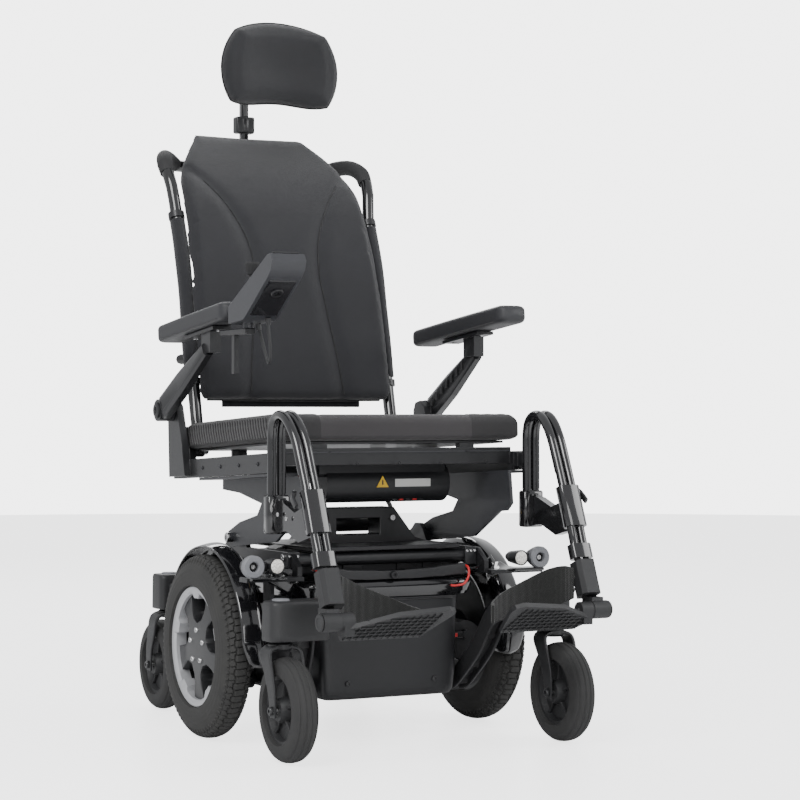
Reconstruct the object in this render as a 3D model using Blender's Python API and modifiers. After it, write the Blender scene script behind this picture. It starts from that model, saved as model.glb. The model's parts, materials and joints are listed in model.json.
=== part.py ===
"""Power wheelchair with mid-wheel drive: seat module on a six-wheeled base.

Metres, +Z up, the user faces -Y, so the user's left is +X. Everything is laid out
from the drive axle's ground point. At the end the whole chair is moved so that
the origin is the centre of its footprint, on the ground.
"""
import bpy
import bmesh
from math import sin, cos, pi, radians, atan2, copysign
from mathutils import Matrix, Vector

# ---------------------------------------------------------------- dimensions
GAP = 0.0004              # between touching pieces
RUN = 0.0006              # running clearance round pins and stems

# drive wheels
WHEEL_R, WHEEL_W, WHEEL_X = 0.1675, 0.063, 0.2815
RIM_R, HUB_W, SHAFT_R = 0.112, 0.048, 0.010
AXLE_Z = WHEEL_R

# casters
CASTER_R, CASTER_W, CASTER_TRAIL = 0.090, 0.045, 0.033
CASTER_PIN_R, STEM_R = 0.006, 0.009
FRONT_STEM_X, FRONT_STEM_Y = 0.2726, -0.308
REAR_STEM_X, REAR_STEM_Y = 0.209, 0.372
FORK_WALL, CROWN_H, FORK_SIDE_GAP, CROWN_GAP = 0.006, 0.014, 0.003, 0.007
STEM_HOUSING_H = 0.069

# base
TRAY_HALF, TRAY_WALL, TRAY_FRONT, TRAY_REAR, TRAY_Z = 0.141, 0.0065, -0.118, 0.235, 0.078
TRAY_FLOOR, TRAY_H = 0.0075, 0.184
BATTERY_W, BATTERY_L, BATTERY_H = 0.258, 0.168, 0.170
COVER_DEPTH, COVER_WALL = 0.077, 0.004
ARM_PIVOT_Y, ARM_PIVOT_Z, ARM_PIN_R, ARM_BARREL_R = 0.100, 0.090, 0.008, 0.018
PLATE_X, PLATE_W, PLATE_FRONT, PLATE_REAR, PLATE_Z, PLATE_H = 0.186, 0.008, -0.21, 0.12, 0.300, 0.045
CROSS_TUBE_R = 0.012
SHROUD_HALF, SHROUD_H, SHROUD_WALL = 0.180, 0.036, 0.003
LAMP_X, LAMP_Y, LAMP_Z, LAMP_R, LAMP_L = 0.247, -0.240, 0.327, 0.0135, 0.045
BUMPER_X, BUMPER_R, BUMPER_L = 0.290, 0.0205, 0.048
GUARD_GAP, GUARD_WALL, GUARD_IN, GUARD_OUT = 0.013, 0.003, 0.238, 0.290
MOTOR_R, MOTOR_L, GEARBOX_R = 0.038, 0.135, 0.046

# seat module
SEAT_TILT = radians(2.8)
TILT_PIVOT_Y, TILT_PIVOT_Z = 0.055, 0.362
RAIL_X, RAIL_W, RAIL_H, RAIL_TOP = 0.250, 0.022, 0.035, 0.5135
RAIL_FRONT, RAIL_REAR = -0.225, 0.215
CUSHION_HALF, CUSHION_T, CUSHION_FRONT, CUSHION_REAR = 0.252, 0.050, -0.223, 0.180
PAN_T, PAN_LIFT = 0.004, 0.016
ACTUATOR_Y, ACTUATOR_Z, ACTUATOR_R, ACTUATOR_L = -0.100, 0.4655, 0.036, 0.254

# back
BACK_HINGE_Y, BACK_HINGE_Z = 0.205, 0.530
BACK_TUBE_X, BACK_TUBE_R = 0.212, 0.0125
BACK_HALF, BACK_T, BACK_EDGE_T = 0.212, 0.045, 0.0145
BAR_Y, BAR_Z = 0.452, 1.100
POST_Y, POST_W = 0.478, 0.015
HEADREST_HALF, HEADREST_H, HEADREST_T, HEADREST_Y, HEADREST_Z = 0.1285, 0.172, 0.075, 0.311, 1.298

# arms
ARM_HINGE_X, ARM_HINGE_Y, ARM_HINGE_Z = 0.288, 0.190, 0.600
ARM_TOP_Y, ARM_TOP_Z, STRUT_W, STRUT_H = -0.008, 0.715, 0.024, 0.044
PAD_X, PAD_W, PAD_T, PAD_REAR = 0.275, 0.060, 0.036, 0.200
PAD_LENGTH_LEFT, PAD_LENGTH_RIGHT, PAD_TILT, PAD_Z = 0.370, 0.328, radians(6.0), 0.765

# controller, on the user's right arm
CONTROL_X, CONTROL_W, SWING_Y = 0.272, 0.064, -0.170
KNOB_R, STICK_R = 0.011, 0.004
BUTTON_R, BUTTON_H, BUTTON_TRAVEL = 0.006, 0.005, 0.0015

# legs
POST_X, LEG_POST_Y = 0.257, -0.258
LEG_TUBE_R, LEG_TUBE_SPREAD, LEG_ROD_R, LEG_TRAVEL = 0.008, 0.018, 0.0055, 0.050
FOOT_AXIS_Y, FOOT_AXIS_Z, FOOT_BARREL_R = -0.481, 0.250, 0.016
PLATE_T, FOOT_TILT = 0.008, radians(28.0)

COLOURS = {
    "satin_black": (0.025, 0.026, 0.028, 0.42, 0.0),
    "gloss_black": (0.012, 0.012, 0.013, 0.12, 0.0),
    "matte_black": (0.030, 0.031, 0.033, 0.75, 0.0),
    "rubber": (0.022, 0.022, 0.021, 0.85, 0.0),
    "silver": (0.55, 0.56, 0.58, 0.35, 0.9),
    "grey_plastic": (0.30, 0.31, 0.33, 0.6, 0.0),
    "lamp": (0.85, 0.85, 0.82, 0.25, 0.0),
    "red": (0.60, 0.03, 0.03, 0.5, 0.0),
    "fabric": (0.045, 0.046, 0.050, 0.95, 0.0),
    "grey_steel": (0.075, 0.078, 0.085, 0.5, 0.3),
}

# ---------------------------------------------------------------- scene
for old in list(bpy.data.objects):
    bpy.data.objects.remove(old, do_unlink=True)

parts = bpy.data.collections.new("power_wheelchair")
tools = bpy.data.collections.new("cutters")
bpy.context.scene.collection.children.link(parts)
bpy.context.scene.collection.children.link(tools)
materials = {}


def material(finish):
    """One Principled material for each finish."""
    if finish not in materials:
        red, green, blue, roughness, metallic = COLOURS[finish]
        made = bpy.data.materials.new(finish)
        made.use_nodes = True
        shader = made.node_tree.nodes["Principled BSDF"]
        shader.inputs["Base Color"].default_value = (red, green, blue, 1.0)
        shader.inputs["Roughness"].default_value = roughness
        shader.inputs["Metallic"].default_value = metallic
        materials[finish] = made
    return materials[finish]


def link(obj):
    """Put a new object in the chair's collection."""
    parts.objects.link(obj)
    return obj


def mesh_object(name, bm):
    """Turn a bmesh into an object."""
    mesh = bpy.data.meshes.new(name)
    bm.to_mesh(mesh)
    bm.free()
    return link(bpy.data.objects.new(name, mesh))


def flatten(obj):
    """Replace an object by the mesh that its modifiers give, placed in the world."""
    bpy.context.view_layer.update()
    graph = bpy.context.evaluated_depsgraph_get()
    mesh = bpy.data.meshes.new_from_object(obj.evaluated_get(graph))
    place = obj.matrix_world.copy()
    name = obj.name
    bpy.data.objects.remove(obj, do_unlink=True)
    mesh.transform(place)
    bm = bmesh.new()
    bm.from_mesh(mesh)
    bmesh.ops.remove_doubles(bm, verts=bm.verts, dist=0.00001)
    bmesh.ops.recalc_face_normals(bm, faces=bm.faces)
    bm.to_mesh(mesh)
    bm.free()
    made = bpy.data.objects.new(name, mesh)
    return link(made)


def combine(body, others, operation):
    """Add the others to the body, or cut them from it, with exact Booleans."""
    for other in others:
        tools.objects.link(other)
        parts.objects.unlink(other)
        other.hide_render = True
        other.display_type = "WIRE"
        step = body.modifiers.new(operation.lower(), "BOOLEAN")
        step.operation = operation
        step.solver = "EXACT"
        step.object = other
    made = flatten(body)
    for other in others:
        bpy.data.objects.remove(other, do_unlink=True)
    return made


def fuse(body, *others):
    """Union of several solids."""
    return combine(body, others, "UNION")


def cut(body, *others):
    """The body without the others."""
    return combine(body, others, "DIFFERENCE")


def mirrored(obj):
    """A copy of the object on the other side of the chair's middle plane."""
    bm = bmesh.new()
    bm.from_mesh(obj.data)
    bmesh.ops.transform(bm, matrix=obj.matrix_world, verts=bm.verts)
    bmesh.ops.scale(bm, vec=(-1, 1, 1), verts=bm.verts)
    bmesh.ops.reverse_faces(bm, faces=bm.faces)
    return mesh_object(obj.name + "_mirror", bm)


# ---------------------------------------------------------------- shapes
def box(low, high, bevel=0.0, segments=2, turn=0.0, pivot=None):
    """A block between two corners, turned about X at a pivot, with rounded edges."""
    size = Vector(high) - Vector(low)
    centre = (Vector(high) + Vector(low)) / 2
    bm = bmesh.new()
    bmesh.ops.create_cube(bm, size=1.0, matrix=Matrix.Diagonal((*size, 1.0)))
    made = mesh_object("box", bm)
    made.location = centre
    if turn:
        pivot = Vector(pivot) if pivot else centre
        made.location = pivot + Matrix.Rotation(turn, 3, "X") @ (centre - pivot)
        made.rotation_euler = (turn, 0, 0)
    if bevel:
        edge = made.modifiers.new("edges", "BEVEL")
        edge.width = bevel
        edge.segments = segments
    return flatten(made)


def rod(start, end, radius, end_radius=None, sides=20):
    """A round bar or a cone from one point to another."""
    start, end = Vector(start), Vector(end)
    span = end - start
    bm = bmesh.new()
    bmesh.ops.create_cone(bm, cap_ends=True, segments=sides, radius1=radius,
                          radius2=radius if end_radius is None else end_radius, depth=span.length)
    made = mesh_object("rod", bm)
    made.location = (start + end) / 2
    made.rotation_euler = span.to_track_quat("Z", "Y").to_euler()
    return flatten(made)


def smooth_path(points, steps=3):
    """Points of a Catmull-Rom curve through the given points."""
    points = [Vector(p) for p in points]
    ends = [points[0] * 2 - points[1]] + points + [points[-1] * 2 - points[-2]]
    path = []
    for a, b, c, d in zip(ends, ends[1:], ends[2:], ends[3:]):
        for i in range(steps):
            t = i / steps
            path.append(0.5 * (2 * b + (c - a) * t + (2 * a - 5 * b + 4 * c - d) * t * t
                               + (3 * b - a - 3 * c + d) * t ** 3))
    return path + [points[-1]]


def tube(points, radius, resolution=2, steps=3):
    """A bent round bar along a smooth path."""
    curve = bpy.data.curves.new("tube", "CURVE")
    curve.dimensions = "3D"
    curve.bevel_depth = radius
    curve.bevel_resolution = resolution
    curve.use_fill_caps = True
    spline = curve.splines.new("POLY")
    path = smooth_path(points, steps)
    spline.points.add(len(path) - 1)
    for point, place in zip(spline.points, path):
        point.co = (*place, 1.0)
    return flatten(link(bpy.data.objects.new("tube", curve)))


def plate(outline, thickness, x):
    """A flat plate in a YZ plane: outline points are (y, z), centred on x."""
    curve = bpy.data.curves.new("plate", "CURVE")
    curve.dimensions = "2D"
    curve.fill_mode = "BOTH"
    curve.extrude = thickness / 2
    spline = curve.splines.new("POLY")
    spline.use_cyclic_u = True
    spline.points.add(len(outline) - 1)
    for point, (y, z) in zip(spline.points, outline):
        point.co = (y, z, 0.0, 1.0)
    made = link(bpy.data.objects.new("plate", curve))
    made.matrix_world = Matrix.Translation((x, 0, 0)) @ Matrix(((0, 0, 1, 0), (1, 0, 0, 0),
                                                                (0, 1, 0, 0), (0, 0, 0, 1)))
    return flatten(made)


def turned(profile, centre, steps=32):
    """A ring about an X axis: profile points are (radius, x), outer side from +x to -x."""
    bm = bmesh.new()
    points = [bm.verts.new((radius, 0, along)) for radius, along in profile]
    for first, second in zip(points, points[1:]):
        bm.edges.new((first, second))
    bm.edges.new((points[-1], points[0]))
    made = mesh_object("turned", bm)
    spin = made.modifiers.new("spin", "SCREW")
    spin.steps = steps
    spin.render_steps = steps
    spin.use_merge_vertices = True
    spin.merge_threshold = 0.0001
    made.location = centre
    made.rotation_euler = (0, pi / 2, 0)
    return flatten(made)


def loft(sections):
    """A solid through closed sections that have the same number of points."""
    bm = bmesh.new()
    rings = [[bm.verts.new(point) for point in section] for section in sections]
    for lower, upper in zip(rings, rings[1:]):
        for i in range(len(lower)):
            j = (i + 1) % len(lower)
            bm.faces.new((lower[i], lower[j], upper[j], upper[i]))
    bm.faces.new(reversed(rings[0]))
    bm.faces.new(rings[-1])
    bmesh.ops.recalc_face_normals(bm, faces=bm.faces)
    return mesh_object("loft", bm)


def beam(stations):
    """A cast arm through stations (x, y, z, half width, half height), upright in X."""
    sections = []
    for i, (x, y, z, wide, high) in enumerate(stations):
        before, after = stations[max(i - 1, 0)], stations[min(i + 1, len(stations) - 1)]
        slope = Vector((0, after[1] - before[1], after[2] - before[2])).normalized()
        up = Vector((0, -slope.z, slope.y))
        middle, side = Vector((x, y, z)), Vector((1, 0, 0))
        corners = ((-1, -0.6), (-0.6, -1), (0.6, -1), (1, -0.6), (1, 0.6), (0.6, 1), (-0.6, 1), (-1, 0.6))
        sections.append([middle + side * (wide * u) + up * (high * v) for u, v in corners])
    return loft(sections)


# ---------------------------------------------------------------- assembly
def pivot(name, place, parent=None):
    """An empty on a joint's axis."""
    empty = bpy.data.objects.new("pivot_" + name, None)
    empty.empty_display_size = 0.03
    parts.objects.link(empty)
    empty.location = place
    bpy.context.view_layer.update()
    if parent:
        empty.parent = parent
        empty.matrix_parent_inverse = parent.matrix_world.inverted()
    bpy.context.view_layer.update()
    return empty


def finish(obj, name, finish_name, parent):
    """Name a part, give it its material and hang it on its pivot."""
    obj.name = name
    obj.data.name = name
    obj.data.materials.clear()
    obj.data.materials.append(material(finish_name))
    obj.data.shade_smooth()
    obj.data.set_sharp_from_angle(angle=radians(35))
    obj.parent = parent
    obj.matrix_parent_inverse = parent.matrix_world.inverted()
    return obj


def pair(obj, name, finish_name, parents):
    """Left and right copies of a part; parents are (left, right)."""
    other = mirrored(obj)
    finish(obj, name + "_left", finish_name, parents[0])
    finish(other, name + "_right", finish_name, parents[1])


def pivots(name, place, parents):
    """Left and right pivots; place is on the left side."""
    x, y, z = place
    return (pivot(name + "_left", (x, y, z), parents[0]), pivot(name + "_right", (-x, y, z), parents[1]))


def chassis(base):
    """Battery tray, upper frame with its cross tubes, arm pins and lamp shelves."""
    floor_top = TRAY_Z + TRAY_FLOOR
    wall_top = TRAY_Z + TRAY_H
    leg_front, leg_rear, leg_w = -0.075, 0.075, 0.030
    frame = box((-TRAY_HALF, TRAY_FRONT, TRAY_Z), (TRAY_HALF, TRAY_REAR, floor_top))
    pieces = []
    for side in (-1, 1):
        def span(inner, outer):
            return sorted((side * inner, side * outer))
        wall = span(TRAY_HALF - TRAY_WALL, TRAY_HALF)
        pieces.append(box((wall[0], TRAY_FRONT, TRAY_Z + 0.002), (wall[1], TRAY_REAR, wall_top)))
        leg = span(PLATE_X, PLATE_X + PLATE_W)
        outrigger = span(TRAY_HALF - TRAY_WALL / 2, PLATE_X + PLATE_W / 2)
        for y in (leg_front, leg_rear):
            pieces.append(box((outrigger[0], y - leg_w / 2, wall_top - 0.026),
                              (outrigger[1], y + leg_w / 2, wall_top - 0.006)))
            pieces.append(box((leg[0], y - leg_w / 2 - 0.001, wall_top - 0.027),
                              (leg[1], y + leg_w / 2 + 0.001, PLATE_Z + 0.01)))
        pieces.append(plate([(PLATE_FRONT, PLATE_Z), (PLATE_REAR, PLATE_Z), (PLATE_REAR, PLATE_Z + PLATE_H),
                             (TILT_PIVOT_Y + 0.022, TILT_PIVOT_Z + 0.008),
                             (TILT_PIVOT_Y + 0.010, TILT_PIVOT_Z + 0.018),
                             (TILT_PIVOT_Y - 0.010, TILT_PIVOT_Z + 0.018),
                             (TILT_PIVOT_Y - 0.022, TILT_PIVOT_Z + 0.008),
                             (TILT_PIVOT_Y - 0.040, PLATE_Z + PLATE_H),
                             (PLATE_FRONT + 0.03, PLATE_Z + PLATE_H),
                             (PLATE_FRONT, PLATE_Z + 0.022)],
                            PLATE_W + 0.001, side * (PLATE_X + PLATE_W / 2)))
        shelf = span(PLATE_X + PLATE_W / 2, BUMPER_X + 0.010)
        pieces.append(box((shelf[0], LAMP_Y + 0.012, PLATE_Z - 0.0012),
                          (shelf[1], LAMP_Y + 0.045, PLATE_Z + 0.0055)))
        for y in (-ARM_PIVOT_Y, ARM_PIVOT_Y):
            pieces.append(rod((side * (TRAY_HALF - TRAY_WALL / 2), y, ARM_PIVOT_Z),
                              (side * (PLATE_X + 0.017), y, ARM_PIVOT_Z), ARM_PIN_R, sides=16))
    inner = PLATE_X + PLATE_W / 2
    for y, z in ((-0.165, PLATE_Z + 0.031), (0.095, PLATE_Z + 0.022)):
        pieces.append(rod((-inner, y, z), (inner, y, z), CROSS_TUBE_R, sides=16))
    finish(fuse(frame, *pieces), "chassis_frame", "satin_black", base)

    low = floor_top + GAP
    front = TRAY_FRONT + 0.004
    for name, start in (("battery_front", front), ("battery_rear", front + BATTERY_L + 0.004)):
        battery = box((-BATTERY_W / 2, start, low), (BATTERY_W / 2, start + BATTERY_L, low + BATTERY_H),
                      0.006, 1)
        finish(battery, name, "matte_black", base)

    half = TRAY_HALF + 0.001
    cover_front = TRAY_FRONT - COVER_DEPTH
    cover = box((-half, cover_front, TRAY_Z), (half, TRAY_FRONT - GAP, wall_top), 0.014, 3)
    hollow = box((-half + COVER_WALL, cover_front + COVER_WALL, TRAY_Z + COVER_WALL),
                 (half - COVER_WALL, TRAY_FRONT + 0.05, wall_top - COVER_WALL), 0.010, 2)
    trim = box((-half - 0.01, TRAY_FRONT - 0.016, TRAY_Z - 0.01),
               (half + 0.01, TRAY_FRONT + 0.01, wall_top + 0.01))
    finish(cut(cover, hollow, trim), "front_cover", "matte_black", base)

    shroud_z = wall_top + 0.002
    shroud = box((-SHROUD_HALF, PLATE_FRONT + 0.004, shroud_z), (SHROUD_HALF, 0.165, shroud_z + SHROUD_H),
                 0.014, 3)
    inside = box((-SHROUD_HALF + SHROUD_WALL, PLATE_FRONT + 0.004 + SHROUD_WALL, shroud_z - 0.02),
                 (SHROUD_HALF - SHROUD_WALL, 0.165 - SHROUD_WALL, shroud_z + SHROUD_H - SHROUD_WALL),
                 0.010, 2)
    finish(cut(shroud, inside), "top_shroud", "gloss_black", base)

    tower_low, tower_high, tower_w = PLATE_Z + 0.045, 0.418, 0.05
    tower = loft([[(x * w, y, z) for x, y in ((-1, -0.06), (1, -0.06), (1, -0.06 + tower_w),
                                              (-1, -0.06 + tower_w))]
                  for w, z in ((0.170, tower_low), (0.120, tower_low + 0.015), (0.075, tower_high))])
    window = box((-0.045, -0.08, tower_low + 0.022), (0.045, 0.02, tower_high - 0.020))
    foot = box((-0.15, -0.18, tower_low + 0.0005), (0.15, 0.10, tower_low + 0.008))
    finish(fuse(cut(tower, window), foot), "tilt_tower", "satin_black", base)


def fittings(base):
    """Mudguards, lamps, bumpers and gear motors, left and right."""
    both = (base, base)
    inner, outer = WHEEL_R + GUARD_GAP, WHEEL_R + GUARD_GAP + GUARD_WALL
    low = inner - 0.050
    ring = turned([(outer, GUARD_OUT), (outer, GUARD_IN), (low, GUARD_IN), (low, GUARD_IN + GUARD_WALL),
                   (inner, GUARD_IN + GUARD_WALL), (inner, GUARD_OUT)], (0, 0, AXLE_Z), 48)
    keep = loft([[(x, 0.15, AXLE_Z + 0.09), (x, -0.04, AXLE_Z - 0.01), (x, -0.25, AXLE_Z + 0.03),
                  (x, -0.25, AXLE_Z + 0.3), (x, 0.25, AXLE_Z + 0.3),
                  (x, 0.25, AXLE_Z + 0.12)] for x in (0.22, 0.30)])
    pair(combine(ring, (keep,), "INTERSECT"), "mudguard", "gloss_black", both)

    lamp = fuse(rod((LAMP_X, LAMP_Y, LAMP_Z), (LAMP_X, LAMP_Y + LAMP_L, LAMP_Z), LAMP_R, LAMP_R * 0.8, 24),
                box((LAMP_X - 0.006, LAMP_Y + 0.014, PLATE_Z + 0.006),
                    (LAMP_X + 0.006, LAMP_Y + 0.038, LAMP_Z)))
    pair(lamp, "headlamp", "lamp", both)
    bumper = fuse(rod((BUMPER_X, LAMP_Y + 0.002, LAMP_Z), (BUMPER_X, LAMP_Y + 0.020, LAMP_Z), BUMPER_R,
                      sides=28),
                  rod((BUMPER_X, LAMP_Y + 0.019, LAMP_Z), (BUMPER_X, LAMP_Y + BUMPER_L, LAMP_Z),
                      BUMPER_R * 0.93, BUMPER_R * 0.4, 28))
    bumper = cut(bumper, rod((BUMPER_X, LAMP_Y - 0.01, LAMP_Z), (BUMPER_X, LAMP_Y + 0.012, LAMP_Z), 0.008,
                             sides=20))
    pair(bumper, "bumper", "grey_plastic", both)

    start = TRAY_HALF + 0.0005
    can_x = start + MOTOR_R + 0.006
    motor = fuse(rod((start, 0, AXLE_Z), (GUARD_IN + 0.008, 0, AXLE_Z), GEARBOX_R, sides=28),
                 rod((GUARD_IN, 0, AXLE_Z), (WHEEL_X + 0.016, 0, AXLE_Z), SHAFT_R - RUN, sides=20),
                 rod((can_x, 0.005, AXLE_Z), (can_x, -MOTOR_L, AXLE_Z), MOTOR_R, sides=24))
    pair(motor, "gear_motor", "satin_black", both)
    lever_y = -MOTOR_L - GAP
    levers = pivots("freewheel_lever", (can_x, lever_y, AXLE_Z + 0.012), both)
    lever = fuse(rod((can_x, lever_y, AXLE_Z + 0.012), (can_x, lever_y - 0.010, AXLE_Z + 0.012), 0.009,
                     sides=16),
                 box((can_x - 0.030, lever_y - 0.008, AXLE_Z + 0.006),
                     (can_x, lever_y - 0.002, AXLE_Z + 0.018), 0.002, 1))
    pair(lever, "freewheel_lever", "red", levers)


def drive_wheels(base):
    """Tyre and hub, left and right, turning on the motor shafts."""
    wheels = pivots("drive_wheel", (WHEEL_X, 0, AXLE_Z), (base, base))
    depth = WHEEL_R - RIM_R
    crown = []
    for i in range(13):
        angle = pi / 2 - pi * i / 12
        across = copysign(abs(sin(angle)) ** 0.75, sin(angle)) * WHEEL_W / 2
        crown.append((RIM_R + depth * max(cos(angle), 0.0) ** 0.6, across))
    pair(turned(crown, (WHEEL_X, 0, AXLE_Z)), "drive_tyre", "rubber", wheels)
    rim, half, bore = RIM_R - GAP, HUB_W / 2, SHAFT_R
    hub = [(rim, half), (rim, -half), (rim - 0.007, -half), (rim - 0.007, half - 0.014),
           (0.036, half - 0.012),
           (0.036, -half + 0.004), (bore, -half + 0.004), (bore, half - 0.003), (0.045, half - 0.002),
           (rim - 0.010, half - 0.006)]
    pair(turned(hub, (WHEEL_X, 0, AXLE_Z)), "drive_hub", "silver", wheels)


def suspension_arms(end, sign, stem_x, stem_y, base):
    """A sprung arm with its stem housing, and the caster that swivels in it.

    sign is -1 at the front and +1 at the rear.
    """
    crown_low = 2 * CASTER_R + CROWN_GAP
    housing_low = crown_low + CROWN_H + 0.0035
    high = housing_low + STEM_HOUSING_H
    arms = pivots(end + "_arm", (PLATE_X - 0.01, sign * ARM_PIVOT_Y, ARM_PIVOT_Z), (base, base))
    barrel_x = TRAY_HALF + 0.004
    root_x, mid_z = 0.175, (housing_low + high) / 2
    reach = stem_y - sign * ARM_PIVOT_Y
    arm = beam([(root_x, sign * ARM_PIVOT_Y, ARM_PIVOT_Z, 0.016, 0.016),
                (root_x, sign * ARM_PIVOT_Y + reach * 0.28, ARM_PIVOT_Z + 0.024, 0.016, 0.016),
                (root_x + 0.010, sign * ARM_PIVOT_Y + reach * 0.50, ARM_PIVOT_Z + 0.072, 0.016, 0.018),
                (root_x + 0.022, sign * ARM_PIVOT_Y + reach * 0.70, mid_z - 0.010, 0.017, 0.022),
                (root_x + 0.030, stem_y - sign * 0.024, mid_z, 0.018, 0.026)])
    housing = box((root_x + 0.012, stem_y - 0.030, housing_low), (stem_x + 0.028, stem_y + 0.030, high),
                  0.010, 2)
    arm = fuse(arm, housing, rod((barrel_x, sign * ARM_PIVOT_Y, ARM_PIVOT_Z),
                                 (PLATE_X + 0.016, sign * ARM_PIVOT_Y, ARM_PIVOT_Z), ARM_BARREL_R))
    bore = rod((barrel_x - 0.02, sign * ARM_PIVOT_Y, ARM_PIVOT_Z),
               (PLATE_X + 0.03, sign * ARM_PIVOT_Y, ARM_PIVOT_Z),
               ARM_PIN_R + RUN, sides=16)
    socket = rod((stem_x, stem_y, housing_low - 0.01), (stem_x, stem_y, high - 0.012), STEM_R + RUN,
                 sides=16)
    pair(cut(arm, bore, socket), end + "_arm", "satin_black", arms)

    swivels = pivots(end + "_caster", (stem_x, stem_y, housing_low), arms)
    wheel_y = stem_y + sign * CASTER_TRAIL
    leg_in = CASTER_W / 2 + FORK_SIDE_GAP
    leg_out = leg_in + FORK_WALL
    pieces = [rod((stem_x, stem_y, crown_low + 0.004), (stem_x, stem_y, high - 0.014), STEM_R, sides=16)]
    for side in (-1, 1):
        x = stem_x + side * (leg_in + FORK_WALL / 2)
        outline = [(stem_y - sign * 0.020, crown_low + 0.001),
                   (stem_y - sign * 0.020, crown_low + CROWN_H - 0.001),
                   (stem_y + sign * 0.030, crown_low + CROWN_H - 0.001),
                   (wheel_y + sign * 0.020, crown_low - 0.045),
                   (wheel_y + sign * 0.013, CASTER_R - 0.006), (wheel_y, CASTER_R - 0.014),
                   (wheel_y - sign * 0.013, CASTER_R - 0.006), (wheel_y - sign * 0.014, crown_low - 0.045)]
        pieces.append(plate(outline, FORK_WALL - 0.0002, x))
    pieces.append(rod((stem_x - leg_out + 0.002, wheel_y, CASTER_R),
                      (stem_x + leg_out - 0.002, wheel_y, CASTER_R),
                      CASTER_PIN_R, sides=16))
    crown = box((stem_x - leg_out, stem_y - 0.024, crown_low),
                (stem_x + leg_out, stem_y + 0.024, crown_low + CROWN_H))
    pair(fuse(crown, *pieces), end + "_caster_fork", "satin_black", swivels)

    wheels = pivots(end + "_caster_wheel", (stem_x, wheel_y, CASTER_R), swivels)
    half, bore_r, web = CASTER_W / 2, CASTER_PIN_R + RUN, 0.009
    crown = [(0.078, half), (CASTER_R - 0.003, half * 0.72), (CASTER_R, half * 0.34),
             (CASTER_R, -half * 0.34),
             (CASTER_R - 0.003, -half * 0.72), (0.078, -half), (0.060, -half), (0.056, -web), (0.022, -web),
             (0.020, -half * 0.95), (bore_r, -half * 0.95), (bore_r, half * 0.95), (0.020, half * 0.95),
             (0.022, web), (0.056, web), (0.060, half)]
    pair(turned(crown, (stem_x, wheel_y, CASTER_R), 24), end + "_caster_wheel", "rubber", wheels)


def on_seat(y, lift):
    """Height of a point above the ground, lift above the tilted rail tops."""
    return RAIL_TOP - y * sin(SEAT_TILT) + lift


def seat_block(x_low, x_high, y_low, y_high, lift_low, lift_high, bevel=0.0, segments=2):
    """A block lying on the tilted seat plane."""
    return box((x_low, y_low, RAIL_TOP + lift_low), (x_high, y_high, RAIL_TOP + lift_high), bevel, segments,
               -SEAT_TILT, (0, 0, RAIL_TOP))


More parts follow.
